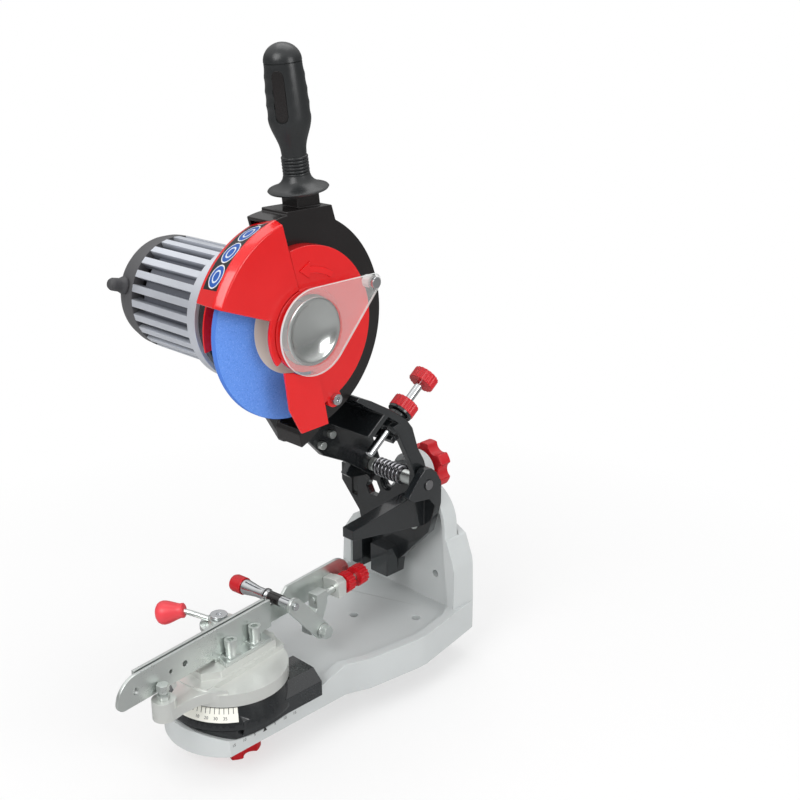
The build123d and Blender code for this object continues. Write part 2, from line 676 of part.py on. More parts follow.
INNER_GUARD_R = COVER_R - 20
with BuildPart() as inner_guard:
    ring_sector(hub(HOUSING_BACK + 1), NECK_R + 1, INNER_GUARD_R, COVER_START + 1, 84, 1.5)
inner_guard.part.label = "inner_guard"
export_step(inner_guard.part, "parts/inner_guard.step")

CLEAR_X = 29.0
with BuildPart() as clear_cover:
    with BuildSketch(hub(COVER_FACE)) as drop:
        Circle(CLEAR_R)
        with Locations(DROP_TIP):
            Circle(7)
        make_hull()
    extrude(amount=CLEAR_X - COVER_FACE)
    rod(hub(COVER_FACE), CLEAR_R - 2, CLEAR_X - COVER_FACE - 1.5, mode=Mode.SUBTRACT)
    rod(hub(COVER_FACE), COVER_SCREW_R, 20, at=(DROP_TIP,), mode=Mode.SUBTRACT)
clear_cover.part.label = "clear_cover"
export_step(clear_cover.part, "parts/clear_cover.step")

with BuildPart() as hub_plate:
    dish = [(0, 5), (14, 5), (18, 8), (24, 9), (HUB_RING_IN, 7), (HUB_RING_IN, 3), (24, 5.5), (18, 4.5), (14, 2), (0, 2)]
    spun(hub(COVER_FACE - SKIN), dish)
hub_plate.part.label = "hub_plate"
export_step(hub_plate.part, "parts/hub_plate.step")

with BuildPart() as cover_screws:
    rod(hub(CLEAR_X), 4.5, 2.5, at=(DROP_TIP,))
    rod(hub(HOUSING_FRONT), COVER_SCREW_R, CLEAR_X - HOUSING_FRONT, at=(DROP_TIP,))
    rod(hub(COVER_FACE - 1), 4.5, 4, at=(LUG,))
    rod(hub(HOUSING_FRONT), COVER_SCREW_R, COVER_FACE - 1 - HOUSING_FRONT, at=(LUG,))
    hexagon(hub(COVER_FACE + 1), 4, 3, at=(LUG,), mode=Mode.SUBTRACT)
cover_screws.part.label = "cover_screws"
export_step(cover_screws.part, "parts/cover_screws.step")

# ------------------------------------------------------------------ handle
GRIP = [
    (0, -2),
    (20, -2),
    (24, 0),
    (24, 2),
    (17, 5),
    (12, 10),
    (10, 17),
    (8.8, 27),
    (9.5, 38),
    (12.5, 50),
    (15, 60),
    (15.6, 68),
    (15, 80),
    (13.6, 88),
    (0, 88),
]
with BuildPart() as handle_grip:
    spun(HANDLE_PLANE, GRIP)
handle_grip.part.label = "handle_grip"
export_step(handle_grip.part, "parts/handle_grip.step")

with BuildPart() as handle_cap:
    cap_outline = [(0, 88), (13.2, 88), (13.2, 94), (11.8, 99), (8.5, 103), (4, 104.6), (0, HANDLE_LONG)]
    spun(HANDLE_PLANE, cap_outline)
handle_cap.part.label = "handle_cap"
export_step(handle_cap.part, "parts/handle_cap.step")

# ------------------------------------------------------------------ motor
FLANGE_R = 53.0
FLANGE_BACK = -58.0
BODY_BACK = -140.0
FIN_R = 47.0
TUBE_R = 41.0
TUBE_IN = 37.0
FINS = 24
FIN_WIDE = 6.0
CAP_R = FIN_R
CAP_BACK = -174.0

with BuildPart() as motor_housing:
    rod(hub(BODY_BACK), TUBE_R, FLANGE_BACK - BODY_BACK)
    rod(hub(FLANGE_BACK), FLANGE_R, MOTOR_FRONT - FLANGE_BACK)
    with BuildSketch(hub(BODY_BACK)):
        with PolarLocations(FIN_R - 5, FINS):
            Rectangle(10, FIN_WIDE)
    extrude(amount=FLANGE_BACK - BODY_BACK)
    rod(hub(BODY_BACK), TUBE_IN, 86, mode=Mode.SUBTRACT)
    rod(hub(BODY_BACK), SHAFT_R + 4, 200, mode=Mode.SUBTRACT)
    # air slots between the fins behind the rear cap
    with BuildSketch(hub(BODY_BACK)):
        with PolarLocations(TUBE_R - 2, FINS, start_angle=180 / FINS):
            Rectangle(8, 4)
    extrude(amount=9, mode=Mode.SUBTRACT)
motor_housing.part.label = "motor_housing"
export_step(motor_housing.part, "parts/motor_housing.step")

CAP_PLANE = Plane(origin=(BODY_BACK, WHEEL_Y, WHEEL_Z), x_dir=(0, 1, 0), z_dir=(-1, 0, 0))
cap_long = BODY_BACK - CAP_BACK
CAP_OUTLINE = [
    (0, cap_long),
    (CAP_R - 27, cap_long),
    (CAP_R - 15, cap_long - 3),
    (CAP_R - 7, cap_long - 8),
    (CAP_R - 2.5, cap_long - 15),
    (CAP_R - 0.5, cap_long - 23),
    (CAP_R, 2),
    (CAP_R, 0),
    (CAP_R - SKIN, 0),
    (CAP_R - SKIN, cap_long - 22),
    (CAP_R - 9, cap_long - 10.5),
    (CAP_R - 16.5, cap_long - 5.5),
    (CAP_R - 27, cap_long - SKIN),
    (0, cap_long - SKIN),
]
GLAND_START = CAP_R - 7
GLAND_ANGLE = 165.0
with BuildPart() as motor_cap:
    spun(CAP_PLANE, CAP_OUTLINE)
    # spider that seats on the body and holds the rear bearing
    washer(CAP_PLANE, TUBE_IN, CAP_R - SKIN, 2)
    with BuildSketch(CAP_PLANE):
        Rectangle(2 * TUBE_R - 6, 8)
        Rectangle(8, 2 * TUBE_R - 6)
        Circle(BEARING_R - 2)
    extrude(amount=6)
    rod(CAP_PLANE, 11, 7, mode=Mode.SUBTRACT)
    # intake slots round the middle of the dome
    with BuildSketch(CAP_PLANE.offset(20)):
        with PolarLocations(27, 12):
            SlotOverall(16, 3)
    extrude(amount=20, mode=Mode.SUBTRACT)
motor_cap.part.label = "motor_cap"
export_step(motor_cap.part, "parts/motor_cap.step")

with BuildPart() as cable_gland:
    gland_at = Plane(
        origin=(
            BODY_BACK - 11,
            WHEEL_Y + GLAND_START * cos(radians(GLAND_ANGLE)),
            WHEEL_Z + GLAND_START * sin(radians(GLAND_ANGLE)),
        ),
        x_dir=(1, 0, 0),
        z_dir=(0, cos(radians(GLAND_ANGLE)), sin(radians(GLAND_ANGLE))),
    )
    spun(gland_at, [(0, 0), (7, 0), (7, 9), (5.5, 12), (5.2, 19), (3.5, 21.5), (0, 22)])
    add(motor_cap.part, mode=Mode.SUBTRACT)
    rod(CAP_PLANE, CAP_R - SKIN, cap_long - 16, mode=Mode.SUBTRACT)
cable_gland.part.label = "cable_gland"
export_step(cable_gland.part, "parts/cable_gland.step")

STACK_BACK = BODY_BACK + 14
STACK_LONG = 46.0
with BuildPart() as stator:
    with BuildSketch(hub(STACK_BACK)):
        Circle(TUBE_IN)
        Circle(22, mode=Mode.SUBTRACT)
        with PolarLocations(26, 12):
            Rectangle(12, 3, mode=Mode.SUBTRACT)
    extrude(amount=STACK_LONG)
stator.part.label = "stator"
export_step(stator.part, "parts/stator.step")

SHAFT_BACK = BODY_BACK - 18
with BuildPart() as bearings:
    rod(hub(BODY_BACK - 7), 11, 7)
    rod(hub(WEB_LEFT + 2), BEARING_R, 9)
    rod(hub(SHAFT_BACK), SHAFT_R + FIT, 200, mode=Mode.SUBTRACT)
bearings.part.label = "bearings"
export_step(bearings.part, "parts/bearings.step")

# ------------------------------------------------------------------ switch box behind the motor
BOX_X = (-128.0, -76.0)
BOX_Y = (45.0, 70.0)
BOX_HALF = 19.0
ROCKER_X = -102.0
ROCKER_Y = WHEEL_Y + BOX_Y[1] - 3
ROCKER_PIN_R = 1.5
with BuildPart() as switch_box:
    box_outline = [(BOX_Y[0] - 6, -BOX_HALF), (BOX_Y[1], -BOX_HALF), (BOX_Y[1], BOX_HALF), (BOX_Y[0] - 6, BOX_HALF)]
    slab(hub(BOX_X[0]), box_outline, BOX_X[1] - BOX_X[0])
    rod(hub(BOX_X[0] - 1), FIN_R + 0.2, 80, mode=Mode.SUBTRACT)
    # well of the rocker, crossed by its pin
    with BuildSketch(Plane(origin=(ROCKER_X, WHEEL_Y + BOX_Y[1], WHEEL_Z), x_dir=(1, 0, 0), z_dir=(0, -1, 0))):
        Rectangle(24, 14)
    extrude(amount=12, mode=Mode.SUBTRACT)
    rod(Plane(origin=(ROCKER_X, ROCKER_Y, WHEEL_Z - 8), z_dir=(0, 0, 1)), ROCKER_PIN_R, 16)
switch_box.part.label = "switch_box"
export_step(switch_box.part, "parts/switch_box.step")

with BuildPart() as rocker:
    rocker_low = Plane(origin=(ROCKER_X, ROCKER_Y, WHEEL_Z - 6), x_dir=(1, 0, 0), z_dir=(0, 0, 1))
    slab(rocker_low, [(-10.5, 2), (-9, -4), (9, -4), (10.5, 2), (10, 6), (0, 3.5), (-10, 4)], 12)
    rod(rocker_low, ROCKER_PIN_R + FIT, 12, mode=Mode.SUBTRACT)
rocker.part.label = "rocker_switch"
export_step(rocker.part, "parts/rocker_switch.step")

# ------------------------------------------------------------------ rotor and grinding wheel
with BuildPart() as motor_shaft:
    rod(hub(SHAFT_BACK), SHAFT_R, 16 - SHAFT_BACK)
motor_shaft.part.label = "motor_shaft"
export_step(motor_shaft.part, "parts/motor_shaft.step")

with BuildPart() as rotor_core:
    rod(hub(STACK_BACK + 1), 21.4, STACK_LONG - 2)
    rod(hub(SHAFT_BACK), SHAFT_R, 200, mode=Mode.SUBTRACT)
rotor_core.part.label = "rotor_core"
export_step(rotor_core.part, "parts/rotor_core.step")

with BuildPart() as cooling_fan:
    rod(hub(BODY_BACK - 17), 12, 9)
    rod(hub(BODY_BACK - 9.5), 36, 1.5)
    with BuildSketch(hub(BODY_BACK - 16)):
        with PolarLocations(23, 9):
            Rectangle(24, 1.8, rotation=25)
    extrude(amount=7)
    rod(hub(SHAFT_BACK), SHAFT_R, 60, mode=Mode.SUBTRACT)
cooling_fan.part.label = "cooling_fan"
export_step(cooling_fan.part, "parts/cooling_fan.step")

WHEEL_HALF = WHEEL_THICK / 2
with BuildPart() as inner_flange:
    rod(hub(-WHEEL_HALF - 5), 19, 5)
    rod(hub(-WHEEL_HALF - 5), WHEEL_BORE_R, 5 + WHEEL_THICK - 1)
    rod(hub(-12), 11, 12 - WHEEL_HALF - 5)
    rod(hub(-20), SHAFT_R, 60, mode=Mode.SUBTRACT)
inner_flange.part.label = "inner_flange"
export_step(inner_flange.part, "parts/inner_flange.step")

with BuildPart() as grinding_wheel:
    rod(hub(-WHEEL_HALF), WHEEL_R, WHEEL_THICK)
    rod(hub(-WHEEL_HALF), WHEEL_BORE_R, WHEEL_THICK, mode=Mode.SUBTRACT)
grinding_wheel.part.label = "grinding_wheel"
export_step(grinding_wheel.part, "parts/grinding_wheel.step")

with BuildPart() as outer_flange:
    rod(hub(WHEEL_HALF), 19, 4)
    rod(hub(WHEEL_HALF), SHAFT_R, 20, mode=Mode.SUBTRACT)
outer_flange.part.label = "outer_flange"
export_step(outer_flange.part, "parts/outer_flange.step")

with BuildPart() as wheel_nut:
    hexagon(hub(WHEEL_HALF + 4), 19, 8)
    rod(hub(WHEEL_HALF), SHAFT_R, 20, mode=Mode.SUBTRACT)
wheel_nut.part.label = "wheel_nut"
export_step(wheel_nut.part, "parts/wheel_nut.step")

# ------------------------------------------------------------------ cradle
CRADLE_FOOT = 21.0
CRADLE_TOP = 39.0
CRADLE_R = 50.0
CRADLE_TOP_R = 44.0
SKIRT_X = SIDE_X + GAP
SKIRT_OUT = 45.0
CRADLE_BOX = [(10, CRADLE_FOOT), (SKIRT_OUT, CRADLE_FOOT), (SKIRT_OUT, 28), (35, 36.5), (10, 36.5)]
BOX_FRONT = -194.0
BOX_REAR = -115.0
HUB_R = 12.0
CLAMP_R = 4.0
SEAT_HALF = 41.0

with BuildPart() as cradle_body:
    spun(nose(0), [(0, CRADLE_FOOT), (CRADLE_R, CRADLE_FOOT), (CRADLE_R, 24), (CRADLE_TOP_R, CRADLE_TOP), (0, CRADLE_TOP)])
    slab(facing(BOX_REAR), CRADLE_BOX, BOX_REAR - BOX_FRONT)
    # barrel-shaped underside
    with BuildSketch(nose(5)):
        Circle(CRADLE_R - 0.5)
        Rectangle(2 * SEAT_HALF, 92, mode=Mode.INTERSECT)
    extrude(amount=CRADLE_FOOT - 5)
    rod(side(-60), BARREL_R, 120, at=((SWIVEL_Y, CRADLE_TILT_Z),), mode=Mode.INTERSECT)
    # left of the seat the disc's underside swings clear of the flat nose
    with BuildSketch(side(-NOSE_R)):
        with Locations((SWIVEL_Y, CRADLE_TILT_Z)):
            Circle(BARREL_R + NOSE_R)
            Circle(CRADLE_TILT_Z - NOSE_TOP - GAP, mode=Mode.SUBTRACT)
    extrude(amount=NOSE_R + TROUGH_LEFT + GAP, mode=Mode.SUBTRACT)

with BuildPart() as cradle:
    add(cradle_body.part)
    # skirt beside the base
    slab(side(SKIRT_X), [(BOX_FRONT, 15), (BOX_REAR, 15), (BOX_REAR, 28), (BOX_FRONT, 28)], SKIRT_OUT - SKIRT_X)
    rod(nose(CRADLE_FOOT + 1), HUB_R + FIT, 30, mode=Mode.SUBTRACT)
    rod(nose(0), CLAMP_R + FIT, 30, mode=Mode.SUBTRACT)
cradle.part.label = "cradle"
export_step(cradle.part, "parts/cradle.step")

DIAL_THICK = 0.7
CONE_LEAN = (CRADLE_R - CRADLE_TOP_R) / (CRADLE_TOP - 24)
dial_low = 28.0
dial_high = 38.0
with BuildPart() as swivel_dial:
    low_r = CRADLE_R - CONE_LEAN * (dial_low - 24)
    high_r = CRADLE_R - CONE_LEAN * (dial_high - 24)
    start = turned(nose(0), -118)
    dial_outline = [(low_r, dial_low), (low_r + DIAL_THICK, dial_low), (high_r + DIAL_THICK, dial_high), (high_r, dial_high)]
    spun(start, dial_outline, arc=60)
swivel_dial.part.label = "swivel_dial"
export_step(swivel_dial.part, "parts/swivel_dial.step")

# ------------------------------------------------------------------ turntable
DISC_R = 46.0
DISC_TOP = 50.0
LEDGE_TOP = 54.0
FLAT_D = 19.0
BOSS_AT = (9, -75)
BOSS_R = 9.0
ARM_OUTLINE = [(0, -76), (0, -60), (-5, -50), (-15, -42), (31, -32), (22, -42), (18, -52), (17, -62), (18, -76)]
CAM_AT = (-21.0, 11.0)
CAM_POST_R = 4.0
CAM_FOOT = 69.7
RAIL_SCREWS = [(9, -6), (9, 20)]
GUIDE_SCREWS = [(-9.5, -12), (-9.5, 30)]
GUIDE_R = 2.5

with BuildPart() as turntable:
    rod(vise(CRADLE_TOP + GAP), DISC_R, DISC_TOP - CRADLE_TOP - GAP)
    rod(vise(CRADLE_FOOT + 2), HUB_R, CRADLE_TOP + 1 - CRADLE_FOOT - 2)
    # raised half of the disc, its straight edge parallel to the rails
    with BuildSketch(vise(DISC_TOP)):
        Circle(DISC_R)
        with Locations((FLAT_D, 0)):
            Rectangle(DISC_R, 2 * DISC_R, align=(Align.MIN, Align.CENTER), mode=Mode.SUBTRACT)
    extrude(amount=LEDGE_TOP - DISC_TOP)
    slab(vise(LEDGE_TOP), [(-15, -34), (7, -36), (16, -24), (16, 36), (8, 42), (-15, 40)], BLOCK_TOP - LEDGE_TOP)
    # arm out to the boss of the rail support bolt
    slab(vise(44), ARM_OUTLINE, 9)
    rod(vise(44), BOSS_R, 16, at=(BOSS_AT,))
    rod(vise(LEDGE_TOP), 5.5, CAM_FOOT - LEDGE_TOP, at=(CAM_AT,))
    rod(vise(CRADLE_FOOT), CLAMP_R, 12, mode=Mode.SUBTRACT)
    rod(vise(42), CAM_POST_R, 40, at=(CAM_AT,), mode=Mode.SUBTRACT)
    rod(vise(45), 3, 40, at=RAIL_SCREWS, mode=Mode.SUBTRACT)
    rod(vise(48), GUIDE_R, 40, at=GUIDE_SCREWS, mode=Mode.SUBTRACT)
    rod(vise(48), 3, 40, at=(BOSS_AT,), mode=Mode.SUBTRACT)
turntable.part.label = "turntable"
export_step(turntable.part, "parts/turntable.step")

CLAMP_KNOB_TOP = CRADLE_TILT_Z - KNOB_CEILING_R - 1
CLAMP_KNOB_HIGH = 28.0
CLAMP_NECK = 12.0
with BuildPart() as clamp_stud:
    rod(nose(CLAMP_KNOB_TOP - CLAMP_KNOB_HIGH + 3), CLAMP_R, CRADLE_FOOT + 12 - CLAMP_KNOB_TOP + CLAMP_KNOB_HIGH - 3)
clamp_stud.part.label = "clamp_stud"
export_step(clamp_stud.part, "parts/clamp_stud.step")

with BuildPart() as clamp_knob:
    rod(nose(CLAMP_KNOB_TOP - CLAMP_NECK - 1), 12, CLAMP_NECK + 1)
    star_knob(nose(CLAMP_KNOB_TOP - CLAMP_KNOB_HIGH), KNOB_R, CLAMP_KNOB_HIGH - CLAMP_NECK, 6)
    rod(nose(CLAMP_KNOB_TOP - CLAMP_KNOB_HIGH + 3), CLAMP_R + FIT, CLAMP_KNOB_HIGH, mode=Mode.SUBTRACT)
clamp_knob.part.label = "clamp_knob"
export_step(clamp_knob.part, "parts/clamp_knob.step")

# ------------------------------------------------------------------ rails
FACE = CHAIN_GAP / 2


def rail_face(plane, tip, heel, thick):
    """A rail: one end is rounded off, the other is square."""
    k = 1 if tip < heel else -1
    with BuildSketch(plane) as face:
        with BuildLine():
            Polyline((tip + 20 * k, RAIL_TOP), (heel, RAIL_TOP), (heel, RAIL_FOOT), (tip + 6 * k, RAIL_FOOT))
            ThreePointArc((tip + 6 * k, RAIL_FOOT), (tip + 1.4 * k, RAIL_FOOT + 2.4), (tip, RAIL_FOOT + 7))
            ThreePointArc((tip, RAIL_FOOT + 7), (tip + 5.5 * k, RAIL_TOP - 5.5), (tip + 20 * k, RAIL_TOP))
        make_face()
    extrude(face.sketch, amount=thick)


with BuildPart() as fixed_rail:
    rail_face(beside_rail(FACE), -112, 44, RAIL_THICK)
    slab(vise(BLOCK_TOP), [(FACE, -18), (FACE + RAIL_THICK, -18), (FACE + RAIL_THICK, 34), (FACE, 34)], 4)
    slab(vise(BLOCK_TOP), [(FACE, -14), (15.5, -18), (15.5, 32), (FACE, 34)], RAIL_THICK)
    for s, r in [(-95, 2.6), (-62, 1.5), (-48, 2.2)]:
        rod(beside_rail(FACE), r, RAIL_THICK, at=((s, 74),), mode=Mode.SUBTRACT)
    rod(vise(BLOCK_TOP), 3, 10, at=RAIL_SCREWS, mode=Mode.SUBTRACT)
fixed_rail.part.label = "fixed_rail"
export_step(fixed_rail.part, "parts/fixed_rail.step")

FLANGE_Z = BLOCK_TOP + GAP
NOTCH = [(42, 90), (42, 82), (46, 78), (57, 78), (63, 82), (72, 90)]
BLOCK_S = 112.0
BLOCK_LONG = 10.0
with BuildPart() as moving_jaw:
    rail_face(beside_rail(-FACE - RAIL_THICK), 147, -92, RAIL_THICK)
    slab(vise(FLANGE_Z), [(-FACE, -18), (-14, -18), (-14, 34), (-FACE, 34)], RAIL_THICK - GAP)
    slab(vise(FLANGE_Z), [(-FACE - RAIL_THICK, -18), (-FACE, -18), (-FACE, 34), (-FACE - RAIL_THICK, 34)], 4)
    slab(beside_rail(-FACE - RAIL_THICK), NOTCH, RAIL_THICK, mode=Mode.SUBTRACT)
    with BuildSketch(vise(FLANGE_Z)):
        with Locations(*[(d + JAW_TRAVEL / 2, s) for d, s in GUIDE_SCREWS]):
            SlotCenterToCenter(JAW_TRAVEL, 2 * (GUIDE_R + 0.1))
    extrude(amount=RAIL_THICK, mode=Mode.SUBTRACT)
moving_jaw.part.label = "moving_jaw"
export_step(moving_jaw.part, "parts/moving_jaw.step")

with BuildPart() as rail_screws:
    for s in RAIL_SCREWS:
        with BuildSketch(vise(BLOCK_TOP + RAIL_THICK)):
            with Locations(s):
                Rectangle(10, 12)
        extrude(amount=1.2)
    rod(vise(45), 3, 22, at=RAIL_SCREWS)
    rod(vise(BLOCK_TOP + RAIL_THICK + 1), 4.3, 6.5, at=RAIL_SCREWS)
    rod(vise(70.5), 5, 6.5, at=RAIL_SCREWS)
    hexagon(vise(73.5), 5, 4, at=RAIL_SCREWS, mode=Mode.SUBTRACT)
rail_screws.part.label = "rail_screws"
export_step(rail_screws.part, "parts/rail_screws.step")

with BuildPart() as guide_screws:
    rod(vise(48), GUIDE_R, 15.5, at=GUIDE_SCREWS)
    rod(vise(FLANGE_Z + RAIL_THICK), 4.3, 3, at=GUIDE_SCREWS)
guide_screws.part.label = "guide_screws"
export_step(guide_screws.part, "parts/guide_screws.step")

with BuildPart() as support_bolt:
    rod(vise(48), 3, 20, at=(BOSS_AT,))
    hexagon(vise(60), 8.5, 4, at=(BOSS_AT,))
    rod(vise(64), 3, 4, at=(BOSS_AT,))
    hexagon(vise(66), 8.5, 6, at=(BOSS_AT,))
support_bolt.part.label = "support_bolt"
export_step(support_bolt.part, "parts/support_bolt.step")

# ------------------------------------------------------------------ cam lever
CAM_R = 15.7
CAM_OFFSET = 1.4
LEVER_TIP = (-52, -6)
with BuildPart() as cam_bolt:
    rod(vise(42), CAM_POST_R, 38, at=(CAM_AT,))
    rod(vise(78 + GAP), 7, 2.7, at=(CAM_AT,))
    hexagon(vise(79.5), 4, 4, at=(CAM_AT,), mode=Mode.SUBTRACT)
cam_bolt.part.label = "cam_bolt"
export_step(cam_bolt.part, "parts/cam_bolt.step")

CAM_CENTRE = (CAM_AT[0] + CAM_OFFSET * cos(radians(-30)), CAM_AT[1] + CAM_OFFSET * sin(radians(-30)))


def vise_point(d, s, z):
    """A point given beside and along the rails."""
    return (
        d * RAIL_OUT[0] + s * RAIL_DIR[0],
        SWIVEL_Y + d * RAIL_OUT[1] + s * RAIL_DIR[1],
        z,
    )


with BuildPart() as cam_lever:
    rod(vise(70), CAM_R, 4, at=(CAM_CENTRE,))
    rod(vise(70), 8, 8, at=(CAM_AT,))
    with BuildLine() as lever_line:
        Spline(
            vise_point(-27, 7, 76),
            vise_point(-35, 3, 78),
            vise_point(-43, -1, 80),
            vise_point(*LEVER_TIP, 80),
        )
    with BuildSketch(Plane(origin=lever_line.line @ 0, z_dir=lever_line.line % 0)) as bar:
        Circle(2.2)
    sweep(bar.sketch, path=lever_line.line)
    rod(vise(69), CAM_POST_R + FIT, 12, at=(CAM_AT,), mode=Mode.SUBTRACT)
cam_lever.part.label = "cam_lever"
export_step(cam_lever.part, "parts/cam_lever.step")

with BuildPart() as lever_knob:
    tip = lever_line.line @ 1
    way = lever_line.line % 1
    knob_plane = Plane(origin=tip - way * 7, z_dir=way)
    spun(knob_plane, [(0, 0), (4.5, 0), (6, 2), (9.5, 9), (10, 13), (8.5, 18), (5, 21), (0, 22)])
    add(cam_lever.part, mode=Mode.SUBTRACT)
lever_knob.part.label = "lever_knob"
export_step(lever_knob.part, "parts/lever_knob.step")

# ------------------------------------------------------------------ tooth stop
SCREW_D = 10.0
SCREW_Z = 70.0
SCREW_R = 3.0
STRAP_AT = (84.0, 48.0)
SHAFT_AT = (52.0, 84.0)
STRAP_D = 20.0
with BuildPart() as stop_block:
    block = [(-FACE, RAIL_FOOT), (17, RAIL_FOOT), (17, 76), (13, 79), (6, 79), (2, 78), (-FACE, 78)]
    start = Plane(
        origin=vise_point(0, BLOCK_S + BLOCK_LONG, 0), x_dir=RAIL_OUT, z_dir=(-RAIL_DIR[0], -RAIL_DIR[1], 0)
    )
    slab(start, block, BLOCK_LONG)
    rod(across_rail(BLOCK_S - 1, SCREW_D, SCREW_Z), SCREW_R + FIT, BLOCK_LONG + 2, mode=Mode.SUBTRACT)
stop_block.part.label = "stop_block"
export_step(stop_block.part, "parts/stop_block.step")

with BuildPart() as stop_screw:
    rod(across_rail(86, SCREW_D, SCREW_Z), SCREW_R, 62)
stop_screw.part.label = "stop_screw"
export_step(stop_screw.part, "parts/stop_screw.step")

with BuildPart() as stop_end_knob:
    ribbed_knob(across_rail(140, SCREW_D, SCREW_Z), 9, 10, 16)
    rod(across_rail(139, SCREW_D, SCREW_Z), SCREW_R, 9, mode=Mode.SUBTRACT)
stop_end_knob.part.label = "stop_end_knob"
export_step(stop_end_knob.part, "parts/stop_end_knob.step")

with BuildPart() as stop_lock_knob:
    rod(across_rail(BLOCK_S + BLOCK_LONG + GAP, SCREW_D, SCREW_Z), 6, 3)
    ribbed_knob(across_rail(124.5, SCREW_D, SCREW_Z), 9, 8.5, 16)
    rod(across_rail(120, SCREW_D, SCREW_Z), SCREW_R + FIT, 15, mode=Mode.SUBTRACT)
stop_lock_knob.part.label = "stop_lock_knob"
export_step(stop_lock_knob.part, "parts/stop_lock_knob.step")

BRACKET_OUTLINE = [(87, 76), (100, 76), (100, 65), (90, 43), (84, 41.5), (78, 43), (78, 53), (87, 64)]
with BuildPart() as stop_bracket:
    slab(beside_rail(5), BRACKET_OUTLINE, 10)
    rod(beside_rail(14), 6, STRAP_D - GAP - 14, at=(STRAP_AT,))
    rod(across_rail(80, SCREW_D, SCREW_Z), SCREW_R + FIT, 30, mode=Mode.SUBTRACT)
    rod(beside_rail(0), 3, 40, at=(STRAP_AT,), mode=Mode.SUBTRACT)
stop_bracket.part.label = "stop_bracket"
export_step(stop_bracket.part, "parts/stop_bracket.step")

with BuildPart() as stop_bolt:
    rod(beside_rail(5), 3, STRAP_D + 4 - 5, at=(STRAP_AT,))
    rod(beside_rail(STRAP_D + 3 + GAP), 6.5, 1.2, at=(STRAP_AT,))
    hexagon(beside_rail(STRAP_D + 4), 10, 5.5, at=(STRAP_AT,))
stop_bolt.part.label = "stop_bolt"
export_step(stop_bolt.part, "parts/stop_bolt.step")

with BuildPart() as stop_strap:
    with BuildSketch(beside_rail(STRAP_D)) as strap_face:
        with Locations(STRAP_AT):
            Circle(7.5)
        with Locations(SHAFT_AT):
            Circle(7)
        make_hull()
    extrude(amount=3)
    rod(beside_rail(STRAP_D), 3 + FIT, 3, at=(STRAP_AT,), mode=Mode.SUBTRACT)
    rod(beside_rail(STRAP_D), 3, 3, at=(SHAFT_AT,), mode=Mode.SUBTRACT)
stop_strap.part.label = "stop_strap"
export_step(stop_strap.part, "parts/stop_strap.step")


def stop_shaft_at(d):
    """Plane across the stop shaft, extruding outward from the rails."""
    return Plane(origin=vise_point(d, SHAFT_AT[0], SHAFT_AT[1]), x_dir=RAIL_DIR, z_dir=RAIL_OUT)


with BuildPart() as stop_shaft:
    spun(
        stop_shaft_at(-42),
        [(0, 4), (6.3, 4), (6.3, 12), (4.6, 24), (4.6, 32), (5.6, 32.5), (5.6, 36), (4.5, 36.5), (4.5, 62), (0, 62)],
    )
    rod(stop_shaft_at(19), 3, 6)
stop_shaft.part.label = "stop_shaft"
export_step(stop_shaft.part, "parts/stop_shaft.step")

with BuildPart() as stop_cap:
    spun(stop_shaft_at(-46), [(0, 0), (4, 0), (6.5, 1.5), (7.3, 4), (7.3, 14), (0, 14)])
    add(stop_shaft.part, mode=Mode.SUBTRACT)
stop_cap.part.label = "stop_cap"
export_step(stop_cap.part, "parts/stop_cap.step")
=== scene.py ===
import json
from math import acos, atan2, cos, pi, radians, sin, tau

import bmesh
import bpy
from mathutils import Matrix, Vector

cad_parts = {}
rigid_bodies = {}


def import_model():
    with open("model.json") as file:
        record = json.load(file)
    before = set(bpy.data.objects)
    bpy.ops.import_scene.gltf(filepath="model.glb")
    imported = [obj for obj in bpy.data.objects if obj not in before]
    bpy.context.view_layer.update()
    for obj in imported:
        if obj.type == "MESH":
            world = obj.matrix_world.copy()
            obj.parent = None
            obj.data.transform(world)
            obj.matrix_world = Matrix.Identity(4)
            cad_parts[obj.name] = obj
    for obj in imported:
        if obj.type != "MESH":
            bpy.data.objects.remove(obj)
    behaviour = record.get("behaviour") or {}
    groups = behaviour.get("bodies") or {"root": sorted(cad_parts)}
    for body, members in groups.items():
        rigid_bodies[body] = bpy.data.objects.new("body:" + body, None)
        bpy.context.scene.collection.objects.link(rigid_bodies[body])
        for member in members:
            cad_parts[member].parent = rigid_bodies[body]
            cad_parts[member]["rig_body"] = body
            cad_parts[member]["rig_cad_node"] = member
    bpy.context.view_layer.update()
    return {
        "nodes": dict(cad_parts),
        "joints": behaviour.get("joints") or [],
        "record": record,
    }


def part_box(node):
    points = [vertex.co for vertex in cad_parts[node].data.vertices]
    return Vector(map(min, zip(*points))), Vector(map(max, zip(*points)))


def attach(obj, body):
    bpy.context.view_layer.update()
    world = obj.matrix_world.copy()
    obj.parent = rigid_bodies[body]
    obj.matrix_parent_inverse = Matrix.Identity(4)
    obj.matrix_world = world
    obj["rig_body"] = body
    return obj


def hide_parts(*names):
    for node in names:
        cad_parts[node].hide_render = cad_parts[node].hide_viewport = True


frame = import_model()
nodes = frame["nodes"]
joints = {joint["name"]: joint for joint in frame["joints"]}
owners = {
    node: body
    for body, members in frame["record"]["behaviour"]["bodies"].items()
    for node in members
}

# ------------------------------------------------------------------ base casting
# One light alloy casting: a foot with a rim, a round nose for the vise, and a hollow column.
# It is fettled, its edges are left round, and it is sprayed with light grey satin paint.
MM = 0.001
SLIVER = radians(25)


